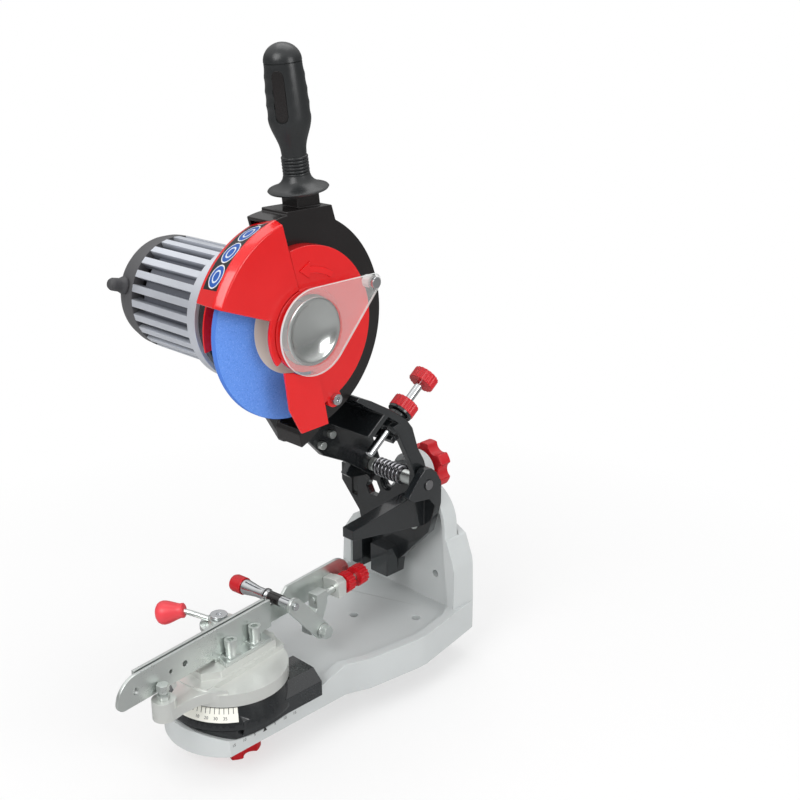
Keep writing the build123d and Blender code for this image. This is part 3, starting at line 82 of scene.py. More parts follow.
class Shade:
    """An output socket of a material's nodes, so that shader maths reads as plain sums."""

    def __init__(self, tree, socket=None):
        self.tree = tree
        self.socket = socket

    def node(self, kind, settings=(), sockets=(), output=0):
        """Any other node: its settings go in first, then the values or links of its sockets."""
        made = self.tree.nodes.new("ShaderNode" + kind)
        for name, value in dict(settings).items():
            setattr(made, name, value)
        for name, value in dict(sockets).items():
            if isinstance(value, Shade):
                self.tree.links.new(value.socket, made.inputs[name])
            else:
                made.inputs[name].default_value = value
        return Shade(self.tree, made.outputs[output])

    def maths(self, operation, first, second=0.0):
        return self.node("Math", {"operation": operation}, {0: first, 1: second})

    def __add__(self, other):
        return self.maths("ADD", self, other)

    def __radd__(self, other):
        return self.maths("ADD", other, self)

    def __sub__(self, other):
        return self.maths("SUBTRACT", self, other)

    def __rsub__(self, other):
        return self.maths("SUBTRACT", other, self)

    def __mul__(self, other):
        return self.maths("MULTIPLY", self, other)

    def __rmul__(self, other):
        return self.maths("MULTIPLY", other, self)

    def __truediv__(self, other):
        return self.maths("DIVIDE", self, other)

    def __lt__(self, other):
        return self.maths("LESS_THAN", self, other)

    def __gt__(self, other):
        return self.maths("GREATER_THAN", self, other)

    def between(self, low, high):
        """0 below low, 1 above high, and a straight run between."""
        return self.node("MapRange", sockets={"Value": self, "From Min": low, "From Max": high})

    def mix(self, colour_at_0, colour_at_1):
        """Self is the share of the second colour."""
        return self.node("Mix", {"data_type": "RGBA"}, {0: self, 6: colour_at_0, 7: colour_at_1}, output=2)


def tone(red, green, blue):
    """A colour as it is seen, 0 to 255, in the linear values that shaders take."""
    seen = (red / 255, green / 255, blue / 255)
    return (*(c / 12.92 if c < 0.0405 else ((c + 0.055) / 1.055) ** 2.4 for c in seen), 1.0)


def scaled(colour, share):
    return (*(min(1.0, c * share) for c in colour[:3]), 1.0)


def feed(material, socket, shade):
    """Links a wire to a socket of the material's surface."""
    surface = material.node_tree.nodes["Principled BSDF"]
    material.node_tree.links.new(shade.socket, surface.inputs[socket])


def wire_in(material, socket):
    """What feeds a socket of the material's surface now."""
    surface = material.node_tree.nodes["Principled BSDF"]
    return Shade(material.node_tree, surface.inputs[socket].links[0].from_socket)


def finish(name, colour, rough, grain, relief, drift=0.05, stretch=(1, 1, 1), edge_wear_and_highlight=1.25, fixed=()):
    """A surface with slow colour drift, uneven gloss, a fine grain, and convex edges drawn lighter, partly as
    rubbed wear and partly as a painted highlight.

    Grain is in bumps per metre, relief is their height in mm, and stretch thins them along an axis.
    """
    made = bpy.data.materials.new(name)
    made.use_nodes = True
    surface = made.node_tree.nodes["Principled BSDF"]
    for socket, value in dict(fixed).items():
        surface.inputs[socket].default_value = value
    start = Shade(made.node_tree)
    place = start.node("TexCoord", output=3)
    run = start.node("Mapping", sockets={"Vector": place, "Scale": stretch})
    slow = start.node("TexNoise", sockets={"Vector": place, "Scale": 21.0, "Detail": 4.0})
    fine = start.node("TexNoise", sockets={"Vector": run, "Scale": grain, "Detail": 3.0})
    # Convex edges are drawn lighter: partly rubbed wear, partly a painted edge highlight.
    edge = start.node("NewGeometry", output=7).between(0.53, 0.62)
    drifted = slow.between(0.3, 0.7).mix(scaled(colour, 1 - drift), scaled(colour, 1 + drift))
    feed(made, "Base Color", (edge * 0.5).mix(drifted, scaled(colour, edge_wear_and_highlight)))
    feed(made, "Roughness", (fine - 0.5) * 0.12 + (slow - 0.5) * 0.16 + rough)
    bump = start.node("Bump", sockets={"Strength": 0.7, "Distance": relief * MM, "Height": fine})
    feed(made, "Normal", bump)
    return made


def axle_distance(start, origin):
    """How far a shaded point lies from a line through the origin along x, in metres."""
    at = start.node("TexCoord", output=3)
    from_origin = at.node("VectorMath", {"operation": "SUBTRACT"}, {0: at, 1: origin})
    across = at.node("VectorMath", {"operation": "MULTIPLY"}, {0: from_origin, 1: (0, 1, 1)})
    return at.node("VectorMath", {"operation": "LENGTH"}, {0: across}, output=1)


def pick(piece):
    """Makes a piece the only one selected, and the active one."""
    bpy.ops.object.select_all(action="DESELECT")
    piece.select_set(True)
    bpy.context.view_layer.objects.active = piece


def leave_slivers(piece):
    """Leaves out of the selection each two edges with a narrow angle between them, where a bevel spikes."""
    shape = bmesh.from_edit_mesh(piece.data)
    narrow = set()
    for corner in shape.verts:
        met = [edge for edge in corner.link_edges if edge.select]
        ways = [edge.other_vert(corner).co - corner.co for edge in met]
        for i, way in enumerate(ways):
            for j in range(i):
                if way.angle(ways[j], pi) < SLIVER:
                    narrow.update((met[i], met[j]))
    for edge in narrow:
        edge.select = False
    shape.select_flush_mode()
    bmesh.update_edit_mesh(piece.data)


def soften(piece, width, segments=2, angle=28):
    """Breaks the sharp edges by a width in mm, but for the slivers, and shades the rest smooth."""
    pick(piece)
    bpy.ops.object.mode_set(mode="EDIT")
    bpy.ops.mesh.select_mode(type="EDGE")
    bpy.ops.mesh.select_all(action="DESELECT")
    bpy.ops.mesh.edges_select_sharp(sharpness=radians(angle))
    leave_slivers(piece)
    bpy.ops.mesh.bevel(offset=width * MM, segments=segments, clamp_overlap=False)
    bpy.ops.mesh.select_all(action="DESELECT")
    bpy.ops.object.mode_set(mode="OBJECT")
    bpy.ops.object.shade_smooth_by_angle(angle=radians(angle + 10))
    even = piece.modifiers.new("even", "WEIGHTED_NORMAL")
    even.keep_sharp = True
    bpy.ops.object.modifier_apply(modifier="even")
    return piece


def eased(node, width=0.5, segments=2, angle=28):
    """A CAD piece's own form with its sharp edges broken."""
    piece = nodes[node].copy()
    piece.data = nodes[node].data.copy()
    piece.name = node + "_form"
    piece.parent = None
    del piece["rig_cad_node"]
    del piece["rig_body"]
    bpy.context.scene.collection.objects.link(piece)
    pick(piece)
    bpy.ops.mesh.customdata_custom_splitnormals_clear()
    bpy.ops.object.mode_set(mode="EDIT")
    bpy.ops.mesh.select_all(action="SELECT")
    bpy.ops.mesh.remove_doubles(threshold=0.002 * MM)
    bpy.ops.mesh.dissolve_limited(angle_limit=radians(0.4))
    bpy.ops.object.mode_set(mode="OBJECT")
    return soften(piece, width, segments, angle)


def fit(piece, material, *stood_for, body=None):
    """Gives a finished piece its material and its body, and the CAD pieces it stands for."""
    piece.data.materials.clear()
    piece.data.materials.append(material)
    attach(piece, body or owners[stood_for[0]])
    if stood_for:
        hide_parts(*stood_for)
    return piece


grey_paint = finish(
    "grey_paint", tone(202, 206, 206), 0.34, 700, 0.03, drift=0.02, edge_wear_and_highlight=1.06,
    fixed={"Coat Weight": 0.2, "Coat Roughness": 0.15},
)
fit(eased("base_casting", 0.8), grey_paint, "base_casting")

# ------------------------------------------------------------------ head tilt stud and knob
# A tee-headed stud slides in the bracket's arc slot, and a lobed red knob behind the column
# clamps it. The knob is moulded in glossy red plastic, the stud is zinc plated.
zinc = finish(
    "zinc_plate", tone(218, 223, 220), 0.3, 500, 0.002, drift=0.03, stretch=(1, 1, 6),
    edge_wear_and_highlight=1.1, fixed={"Metallic": 0.9},
)
red_plastic = finish("red_plastic", tone(206, 24, 36), 0.3, 900, 0.004, drift=0.05, edge_wear_and_highlight=1.15)
fit(eased("tilt_stud", 0.4), zinc, "tilt_stud")
fit(eased("tilt_knob", 1.2, 3), red_plastic, "tilt_knob")

# ------------------------------------------------------------------ tilting bracket and pivot
# A black painted casting on the column: two ears hold the pivot pin, and a tongue takes the
# depth screw. The arm is pushed up by a coil spring wound round the pin.
# Its edges are drawn far lighter than the paint: a painted edge highlight more than wear.
black_paint = finish(
    "black_paint", tone(27, 30, 32), 0.24, 420, 0.015, drift=0.15, edge_wear_and_highlight=2.4,
    fixed={"Coat Weight": 0.6, "Coat Roughness": 0.08},
)
bright_steel = finish(
    "machined_steel", tone(150, 150, 152), 0.3, 900, 0.01, drift=0.08, stretch=(1, 5, 5),
    fixed={"Metallic": 1.0},
)
spring_steel = finish(
    "spring_steel", tone(168, 168, 172), 0.22, 1200, 0.01, drift=0.2, fixed={"Metallic": 1.0}
)
fit(eased("tilt_bracket", 0.8, 2), black_paint, "tilt_bracket")
fit(eased("tilt_bolt", 0.4), zinc, "tilt_bolt")
fit(eased("pivot_pin", 0.5), bright_steel, "pivot_pin")
fit(eased("pivot_sleeves", 0.4), zinc, "pivot_sleeves")


def drawn(outline):
    """A chain of points in mm, pulled point by point out of a single vertex. It stays in edit mode."""
    bpy.ops.object.select_all(action="DESELECT")
    bpy.ops.mesh.primitive_circle_add(vertices=3, radius=MM)
    bpy.ops.object.mode_set(mode="EDIT")
    bpy.ops.mesh.select_mode(type="VERT")
    bpy.ops.mesh.select_all(action="SELECT")
    bpy.ops.mesh.merge(type="CENTER")
    bpy.ops.transform.translate(value=Vector(outline[0]) * MM)
    for here, there in zip(outline, outline[1:]):
        step = (Vector(there) - Vector(here)) * MM
        bpy.ops.mesh.extrude_vertices_move(TRANSFORM_OT_translate={"value": step})
    bpy.ops.mesh.select_all(action="SELECT")


def closed():
    """Merges what meets, turns every face outwards and leaves edit mode."""
    bpy.ops.mesh.select_all(action="SELECT")
    bpy.ops.mesh.remove_doubles(threshold=0.001 * MM)
    bpy.ops.mesh.normals_make_consistent(inside=False)
    bpy.ops.object.mode_set(mode="OBJECT")


def settle(name, place):
    """Names the piece just modelled and puts its place into its mesh."""
    piece = bpy.context.object
    piece.name = name
    piece.matrix_world = place
    bpy.ops.object.transform_apply(location=True, rotation=True, scale=True)
    return piece


def stood(origin, across, up):
    """The place of a piece modelled about the origin: its x runs across and its z runs up."""
    z = Vector(up).normalized()
    x = Vector(across)
    x = (x - z * x.dot(z)).normalized()
    return Matrix.Translation(origin) @ Matrix((x, z.cross(x), z)).transposed().to_4x4()


def turned(name, outline, place, steps=96, angle=30):
    """A body of revolution: the outline is (radius, height) in mm about the place's z."""
    drawn([(radius, 0, height) for radius, height in outline])
    bpy.ops.mesh.spin(steps=steps, angle=tau, center=(0, 0, 0), axis=(0, 0, 1))
    closed()
    bpy.ops.object.shade_smooth_by_angle(angle=radians(angle))
    return settle(name, place)


def swept(name, outline, place, start, sweep, steps=48):
    """Part of a ring: a closed (radius, height) outline in mm, turned from start over sweep degrees."""
    drawn([(radius, 0, height) for radius, height in outline])
    bpy.ops.mesh.edge_face_add()
    bpy.ops.mesh.spin(steps=steps, angle=-radians(sweep), center=(0, 0, 0), axis=(0, 0, 1))
    closed()
    bpy.ops.object.shade_smooth_by_angle(angle=radians(30))
    return settle(name, place @ Matrix.Rotation(radians(start), 4, "Z"))


def plate(name, outline, thick, place):
    """A flat outline in mm, raised along the place's z."""
    drawn([(x, y, 0) for x, y in outline])
    bpy.ops.mesh.edge_face_add()
    bpy.ops.mesh.extrude_region_move(TRANSFORM_OT_translate={"value": (0, 0, thick * MM)})
    closed()
    return settle(name, place)


SPRING_TURNS = 7
SPRING_R = 7.3
WIRE_R = 1.15
pivot = Vector(joints["head_pitch"]["pos_m"])
spring_low, spring_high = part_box("return_spring")
spring_long = spring_high.x - spring_low.x - 2 * WIRE_R * MM
bpy.ops.object.select_all(action="DESELECT")
bpy.ops.mesh.primitive_circle_add(
    vertices=14, radius=WIRE_R * MM, location=(SPRING_R * MM, 0, 0), rotation=(pi / 2, 0, 0)
)
bpy.ops.object.transform_apply(location=True, rotation=True, scale=True)
coil = bpy.context.object.modifiers.new("coil", "SCREW")
coil.screw_offset = spring_long / SPRING_TURNS
coil.iterations = SPRING_TURNS
coil.steps = coil.render_steps = 40
bpy.ops.object.modifier_apply(modifier="coil")
bpy.ops.object.mode_set(mode="EDIT")
bpy.ops.mesh.select_all(action="SELECT")
bpy.ops.mesh.fill_holes(sides=14)
closed()
bpy.ops.object.shade_smooth_by_angle(angle=radians(40))
spring_start = Vector((spring_low.x + WIRE_R * MM, pivot.y, pivot.z))
spring = settle("return_spring_coil", stood(spring_start, (0, 0, -1), (1, 0, 0)))
fit(spring, spring_steel, "return_spring")

# ------------------------------------------------------------------ head arm
# The arm is a ribbed black casting that swings on the pivot pin and carries motor and guard.
# Two cap screws on its left web hold the guard's bracket.
fit(eased("arm_casting", 1.0, 3), black_paint, "arm_casting")
fit(eased("arm_screws", 0.5), zinc, "arm_screws")

# ------------------------------------------------------------------ depth stop
# A chromed screw in the arm lands on the bracket's tongue and sets how deep the wheel goes.
# A red ribbed knob turns it and a second one, run down on the arm's boss, locks it.
chrome = finish(
    "chrome_plate", tone(206, 208, 210), 0.12, 300, 0.004, drift=0.04, fixed={"Metallic": 1.0}
)
fit(eased("depth_screw", 0.5), chrome, "depth_screw")
KNOB_R = 11.4
KNOB_HIGH = 10.0
KNOB_RIBS = 18
RIB_DEEP = 0.7
WASHER_HIGH = 2.4


def reach(node, origin, way):
    """Where a CAD piece starts and ends along a direction from an origin, in metres."""
    corners = [nodes[node].matrix_world @ point.co for point in nodes[node].data.vertices]
    along = [(corner - origin).dot(way) for corner in corners]
    return min(along), max(along)


def ribbed(name, radius, high, place):
    """A moulded knob with round ribs along its rim."""
    outline = []
    for step in range(8 * KNOB_RIBS):
        bearing = step * tau / (8 * KNOB_RIBS)
        rim = radius - RIB_DEEP * (0.5 - 0.5 * cos(bearing * KNOB_RIBS)) ** 2
        outline.append((rim * cos(bearing), rim * sin(bearing)))
    return soften(plate(name, outline, high, place), 0.3, 2, 60)


depth_origin = Vector(joints["depth_turn"]["pos_m"])
depth_way = Vector(joints["depth_turn"]["axis"]).normalized()
if depth_way.z < 0:
    depth_way = -depth_way
top_end = reach("depth_knob", depth_origin, depth_way)[1]
lock_foot = reach("depth_lock_knob", depth_origin, depth_way)[0]
top_at = stood(depth_origin + depth_way * (top_end - KNOB_HIGH * MM), (1, 0, 0), depth_way)
lock_at = stood(depth_origin + depth_way * (lock_foot + WASHER_HIGH * MM), (1, 0, 0), depth_way)
fit(ribbed("depth_knob_ribbed", KNOB_R, KNOB_HIGH, top_at), red_plastic, "depth_knob")
fit(ribbed("depth_lock_ribbed", KNOB_R, KNOB_HIGH, lock_at), red_plastic, "depth_lock_knob")
washer_outline = [(5, -WASHER_HIGH), (KNOB_R - 1, -WASHER_HIGH), (KNOB_R - 0.6, -WASHER_HIGH + 0.4)]
washer_outline += [(KNOB_R - 0.6, 0), (5, 0), (5, -WASHER_HIGH)]
washer = turned("depth_lock_washer", washer_outline, lock_at)
fit(washer, black_paint, body="depth_lock")

# ------------------------------------------------------------------ wheel housing
# The black moulded half of the guard behind the wheel, with the handle's square neck on top.
# It is bolted to the arm and shows its satin, slightly pebbled skin round the red covers.
black_gloss = finish(
    "black_moulding", tone(27, 24, 24), 0.24, 500, 0.015, drift=0.15, edge_wear_and_highlight=1.8,
    fixed={"Coat Weight": 0.2, "Coat Roughness": 0.1},
)
fit(eased("wheel_housing", 0.9, 3), black_gloss, "wheel_housing")

# ------------------------------------------------------------------ red covers
# Glossy red mouldings close the guard: one round the rear of the wheel, one over its top
# front edge, and a tongue that hangs before the wheel. An inner guard lies behind the wheel.
red_gloss = finish(
    "red_gloss", tone(226, 14, 18), 0.22, 260, 0.008, drift=0.03, edge_wear_and_highlight=1.2,
    fixed={"Coat Weight": 0.5, "Coat Roughness": 0.06},
)
fit(eased("front_cover", 1.2, 3), red_gloss, "front_cover")
fit(eased("rear_cover", 0.8, 3), red_gloss, "rear_cover")
fit(eased("wheel_tongue", 0.6, 2), red_gloss, "wheel_tongue")
fit(eased("inner_guard", 0.3, 2), red_gloss, "inner_guard")

wheel_low, wheel_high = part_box("grinding_wheel")
wheel_centre = (wheel_low + wheel_high) / 2
hub = stood(wheel_centre, (0, 1, 0), (1, 0, 0))
COVER_FACE = 20.0

# ------------------------------------------------------------------ turning arrow
# A raised arrow moulded in the rear cover's face shows which way the wheel turns.
ARROW_R = 45.0
ARROW_WIDE = 2.6
ARROW_HIGH = 1.2
ARROW_START = 58
ARROW_SWEEP = 30
arrow_outline = [
    (ARROW_R - ARROW_WIDE, COVER_FACE),
    (ARROW_R + ARROW_WIDE, COVER_FACE),
    (ARROW_R + ARROW_WIDE - 0.4, COVER_FACE + ARROW_HIGH),
    (ARROW_R - ARROW_WIDE + 0.4, COVER_FACE + ARROW_HIGH),
]
arrow = swept("turning_arrow", arrow_outline, hub, ARROW_START, ARROW_SWEEP)
fit(arrow, red_gloss, body="head")
on_face = Matrix.Translation((ARROW_R * MM, 0, COVER_FACE * MM))
head_at = hub @ Matrix.Rotation(radians(ARROW_START + ARROW_SWEEP), 4, "Z") @ on_face
arrow_head = plate("turning_arrow_head", [(-6.3, -0.5), (6.3, -0.5), (0, 9)], ARROW_HIGH, head_at)
soften(arrow_head, 0.25)
fit(arrow_head, red_gloss, body="head")

# ------------------------------------------------------------------ printed strip
# A black film on the front cover's rim carries three plain blue discs ringed in white.
STRIP_START = 109.0
STRIP_SWEEP = 42.5
DISC_STEP = 13.7
DISC_FIRST = 117.0
DISC_X = 3.0
DISC_R = 9.4
RIM_BACK = -14.5
RIM_FRONT = 14.0
RIM_BACK_R = 80.0
RIM_FRONT_R = 87.5


def rim_radius(x):
    """The front cover's tapered rim, at a distance from the wheel's middle."""
    return RIM_BACK_R + (x - RIM_BACK) / (RIM_FRONT - RIM_BACK) * (RIM_FRONT_R - RIM_BACK_R)


STRIP_X = (-9.5, 12.5)
strip_outline = [
    (rim_radius(STRIP_X[0]) - 0.2, STRIP_X[0]),
    (rim_radius(STRIP_X[0]) + 0.12, STRIP_X[0]),
    (rim_radius(STRIP_X[1]) + 0.12, STRIP_X[1]),
    (rim_radius(STRIP_X[1]) - 0.2, STRIP_X[1]),
]
strip = swept("printed_strip", strip_outline, hub, STRIP_START, STRIP_SWEEP)
print_black = finish("printed_film", tone(24, 24, 26), 0.3, 700, 0.01, drift=0.1)
ground = wire_in(print_black, "Base Color")
place = ground.node("TexCoord", output=3)
axes = place.node("SeparateXYZ", sockets={0: place})
x_now = axes
y_now = Shade(axes.tree, axes.socket.node.outputs[1]) - wheel_centre.y
z_now = Shade(axes.tree, axes.socket.node.outputs[2]) - wheel_centre.z
bearing = z_now.maths("ARCTAN2", z_now, y_now) * (180 / pi)
turns = (bearing - (DISC_FIRST - DISC_STEP / 2)) / DISC_STEP
inside = turns.maths("FRACT", turns) - 0.5
along = inside * (radians(DISC_STEP) * rim_radius(DISC_X))
beside = x_now / MM - DISC_X
away = (along * along + beside * beside).maths("SQRT", along * along + beside * beside)
white_ring = (away < DISC_R).mix(ground, tone(236, 238, 240))
blue_disc = (away < DISC_R - 1.0).mix(white_ring, tone(28, 88, 178))
pale_band = (away < DISC_R - 4.2).mix(blue_disc, tone(225, 233, 242))
feed(print_black, "Base Color", (away < DISC_R - 5.6).mix(pale_band, tone(28, 88, 178)))
fit(strip, print_black, body="head")

# ------------------------------------------------------------------ clear hub cover
# A drop-shaped clear plate over the spindle, held off the red cover by a spacer and a chromed
# screw at its tip. The rim of a spun, satin metal dish carries its round end.
DROP_R = 33.5
TIP_R = 7.0
TIP = Vector((60.0, 27.0))
DROP_BACK = 27.0
DROP_FRONT = 29.0
DISH_R = 25.9


def round_points(centre, radius, start, end, count):
    """Points in mm along an arc."""
    bearings = [radians(start + (end - start) * i / (count - 1)) for i in range(count)]
    return [(centre[0] + radius * cos(b), centre[1] + radius * sin(b)) for b in bearings]


lean = atan2(TIP.y, TIP.x) * 180 / pi
spread = acos((DROP_R - TIP_R) / TIP.length) * 180 / pi
drop = round_points((0, 0), DROP_R, lean + spread, lean + 360 - spread, 72)
drop += round_points(TIP, TIP_R, lean - spread, lean + spread, 16)
drop_at = hub @ Matrix.Translation((0, 0, DROP_BACK * MM))
clear = plate("clear_hub_cover", drop, DROP_FRONT - DROP_BACK, drop_at)
soften(clear, 0.5, 3)
clear_plastic = finish("clear_moulding", tone(236, 240, 238), 0.06, 60, 0.01, drift=0.02)
# Its bevelled rim and sides are drawn near opaque in the pale tint, a painted highlight along the cover's
# edges; outside the dish a light haze stays.
turned_to = wire_in(clear_plastic, "Base Color").node("TexCoord", output=1)
frontal = turned_to.node("SeparateXYZ", sockets={0: turned_to})
flat = frontal.maths("ABSOLUTE", frontal)
hub_radius = axle_distance(turned_to, wheel_centre)
feed(clear_plastic, "Alpha", (flat < 0.97) * 0.55 + (hub_radius > DISH_R * MM) * 0.14 + 0.04)
fit(clear, clear_plastic, "clear_cover")
spacer_outline = [(3, COVER_FACE), (5, COVER_FACE), (5, DROP_BACK), (3, DROP_BACK), (3, COVER_FACE)]
spacer_at = hub @ Matrix.Translation((TIP.x * MM, TIP.y * MM, 0))
spacer = turned("clear_cover_spacer", spacer_outline, spacer_at, steps=40)
fit(spacer, clear_plastic, body="head")

dish_metal = finish(
    "spun_dish", tone(205, 208, 206), 0.18, 900, 0.01, drift=0.1, fixed={"Metallic": 1.0}
)
DISH_X = 18.0
DISH_THICK = 1.0
bowl = [
    (0, 3.2), (6, 3.3), (11, 3.8), (15, 4.8), (18.5, 6.0), (21, 7.3), (22.8, 8.6), (23.6, 8.9), (25.4, 8.9),
]
dish_outline = bowl + [(DISH_R, 8.5), (DISH_R, 8.0)]
dish_outline += [(max(0, radius - 0.4), height - DISH_THICK) for radius, height in reversed(bowl)]
dish = turned("hub_dish", dish_outline, hub @ Matrix.Translation((0, 0, DISH_X * MM)), angle=50)
fit(dish, dish_metal, "hub_plate")
fit(eased("cover_screws", 0.5, 2), chrome, "cover_screws")

# ------------------------------------------------------------------ handle
# A turned-looking black grip, moulded in two halves over the neck: a flared collar, six rings,
# a waist, a swell with finger hollows at the back, a bare oblong recess, and a domed cap.
HANDLE_FOOT = Vector((-5.5, 16.0, 99.5))
HANDLE_TIP = Vector((-5.5, 3.0, 203.5))
handle_at = stood(wheel_centre + HANDLE_FOOT * MM, (1, 0, 0), HANDLE_TIP - HANDLE_FOOT)
grip_outline = [
    (0, -1.6), (18.0, -1.6), (22.0, -0.9), (22.9, 0.3), (22.2, 1.2), (18.8, 2.2), (15.4, 3.7), (12.6, 5.7),
    (10.9, 8.0), (10.1, 10.4),
]
RINGS = 6
RING_STEP = 2.4
RING_FOOT = 10.8
WAIST_TOP = 27.0
WAIST_R = 9.3
SWELL_AT = 53.0
SWELL_R = 15.7
SEAM_AT = 91.0
SEAM_R = 13.9
DOME_TOP = 104.7
for ring in range(RINGS):
    foot = RING_FOOT + ring * RING_STEP
    grip_outline += [(9.9, foot), (10.0, foot + 0.3), (10.0, foot + 1.3)]
    grip_outline += [(9.8, foot + 1.6), (9.1, foot + 1.9)]


def grip_radius(height):
    """The grip's half thickness above the rings: a waist, a swell, and a light taper to the seam."""
    rise = (height - WAIST_TOP) / (SWELL_AT - WAIST_TOP)
    if rise < 1:
        return WAIST_R + (SWELL_R - WAIST_R) * (0.5 - 0.5 * cos(pi * rise))
    return SWELL_R - (SWELL_R - SEAM_R) * ((height - SWELL_AT) / (SEAM_AT - SWELL_AT)) ** 2


GRIP_STEPS = 40
for step in range(GRIP_STEPS + 1):
    height = WAIST_TOP + (SEAM_AT - WAIST_TOP) * step / GRIP_STEPS
    grip_outline.append((grip_radius(height), height))
grip_outline += [(SEAM_R - 0.6, SEAM_AT + 0.2), (SEAM_R - 0.6, SEAM_AT + 0.6), (SEAM_R, SEAM_AT + 0.8)]
grip_outline += [
    (SEAM_R * cos(radians(9 * step)), SEAM_AT + 0.8 + (DOME_TOP - SEAM_AT - 0.8) * sin(radians(9 * step)))
    for step in range(1, 10)
]
grip_outline.append((0, DOME_TOP))
handle = turned("handle", grip_outline, Matrix.Identity(4), steps=80, angle=40)
HOLLOWS = (57.0, 67.0, 77.0, 87.0)
HOLLOW_DEEP = 1.1
for point in handle.data.vertices:
    height = point.co.z / MM
    sideways = point.co.y / (SWELL_R * MM)
    for middle in HOLLOWS:
        reach_in = max(0.0, 1 - ((height - middle) / 4.6) ** 2)
        point.co.y -= HOLLOW_DEEP * MM * reach_in * sideways * abs(sideways)
OBLONG_R = 5.0
OBLONG_LONG = 27.0
OBLONG_AT = 69.0
OBLONG_TURN = -61.0
OBLONG_FLOOR = 13.6
recess_points = round_points((0, OBLONG_LONG / 2), OBLONG_R, 0, 180, 24)
recess_points += round_points((0, -OBLONG_LONG / 2), OBLONG_R, 180, 360, 24)
floor_at = Matrix.Rotation(radians(OBLONG_TURN), 4, "Z") @ stood(
    (OBLONG_FLOOR * MM, 0, OBLONG_AT * MM), (0, 1, 0), (1, 0, 0)
)
cutter = plate("recess_cutter", recess_points, 6, floor_at)
recess = handle.modifiers.new("recess", "BOOLEAN")
recess.object = cutter
recess.operation = "DIFFERENCE"
pick(handle)
bpy.ops.object.modifier_apply(modifier="recess")
bpy.data.objects.remove(cutter)
bpy.ops.object.shade_smooth_by_angle(angle=radians(40))
handle = settle("handle", handle_at)
charcoal = finish("charcoal_plastic", tone(38, 40, 41), 0.32, 800, 0.03, drift=0.12, edge_wear_and_highlight=1.7)
fit(handle, charcoal, "handle_grip", "handle_cap")
# A thin black gloss sheet lies on the recess floor, so that the recess reads darker and glossier than the
# grip.
recess_sheet_points = [(x * 0.9, y * 0.98) for x, y in recess_points]
recess_sheet = soften(plate("handle_inlay", recess_sheet_points, 0.5, handle_at @ floor_at), 0.2)
fit(recess_sheet, black_gloss, body="head")

# ------------------------------------------------------------------ motor
# A finned light alloy housing bolted to the arm, a dark moulded cap on its rear with the
# cable's stub, and a switch box on its back. Inside are stator, rotor, bearings and fan.
motor_alloy = finish(
    "motor_alloy", tone(222, 226, 234), 0.34, 500, 0.02, drift=0.05, stretch=(0.15, 1, 1),
    edge_wear_and_highlight=1.1, fixed={"Metallic": 0.6},
)
FIN_R = 47.0
FIN_DEEP = 5.0
# The floors between the fins are drawn darker: painted shade in the gaps between the fins.
fins = wire_in(motor_alloy, "Base Color")
fin_gap_shade = axle_distance(fins, wheel_centre).between((FIN_R - FIN_DEEP) * MM, (FIN_R - 0.8) * MM)
feed(motor_alloy, "Base Color", fin_gap_shade.mix(tone(118, 121, 130), fins))
dark_moulding = finish("dark_moulding", tone(84, 84, 86), 0.42, 900, 0.03, drift=0.08, edge_wear_and_highlight=1.3)
soft_rubber = finish("soft_rubber", tone(72, 72, 74), 0.6, 600, 0.05, drift=0.08)
laminated = finish(
    "laminations", tone(96, 92, 92), 0.5, 1500, 0.05, drift=0.1, stretch=(8, 0.1, 0.1),
    fixed={"Metallic": 0.6},
)
fit(eased("motor_housing", 0.45, 2), motor_alloy, "motor_housing")
fit(eased("motor_cap", 0.5), dark_moulding, "motor_cap")
fit(eased("cable_gland", 0.8, 3), soft_rubber, "cable_gland")
fit(eased("switch_box", 1.2, 3), charcoal, "switch_box")
fit(eased("rocker_switch", 0.4, 2), dark_moulding, "rocker_switch")


def keep(node, material):
    """A CAD piece that is right as it stands is only given its material."""
    nodes[node].data.materials.clear()
    nodes[node].data.materials.append(material)


keep("stator", laminated)
keep("rotor_core", laminated)
keep("cooling_fan", dark_moulding)
keep("bearings", bright_steel)
keep("motor_shaft", bright_steel)

# ------------------------------------------------------------------ grinding wheel
# A blue vitrified wheel with open, sugary grain, clamped between two alloy flanges by a nut.
# A paper disc is pasted on its outer side.
WHEEL_R = 72.5
BORE_R = 11.2
HALF = 2.4
EDGE = 0.6
wheel_outline = [
    (BORE_R, -HALF), (WHEEL_R - EDGE, -HALF), (WHEEL_R - 0.15, -HALF + 0.2), (WHEEL_R, -HALF + EDGE),
    (WHEEL_R, HALF - EDGE), (WHEEL_R - 0.15, HALF - 0.2), (WHEEL_R - EDGE, HALF), (BORE_R, HALF),
    (BORE_R, -HALF),
]
wheel = turned("blue_wheel", wheel_outline, hub, steps=160)
abrasive = finish("blue_abrasive", tone(98, 148, 234), 0.85, 1500, 0.08, drift=0.03, edge_wear_and_highlight=1.0)
under = wire_in(abrasive, "Base Color")
grain_at = under.node("TexCoord", output=3)
grains = under.node("TexVoronoi", sockets={"Vector": grain_at, "Scale": 1500.0}, output=1)
sparkle = under.node("SeparateColor", sockets={0: grains})
speckled = (sparkle > 0.86).mix(under, tone(114, 160, 240))
grained = (sparkle < 0.14).mix(speckled, tone(84, 134, 222))
at_rim = axle_distance(under, wheel_centre) > (WHEEL_R - 0.5) * MM
feed(abrasive, "Base Color", at_rim.mix(grained, tone(74, 124, 214)))
fit(wheel, abrasive, "grinding_wheel")
LABEL_IN = 19.5
LABEL_OUT = 37.0
label_outline = [(LABEL_IN, 2.3), (LABEL_OUT, 2.3), (LABEL_OUT, 2.52), (LABEL_IN, 2.52), (LABEL_IN, 2.3)]
label = turned("wheel_paper", label_outline, hub)
label_paper = finish("label_paper", tone(232, 229, 220), 0.75, 900, 0.02, drift=0.04)
fit(label, label_paper, body="rotor")
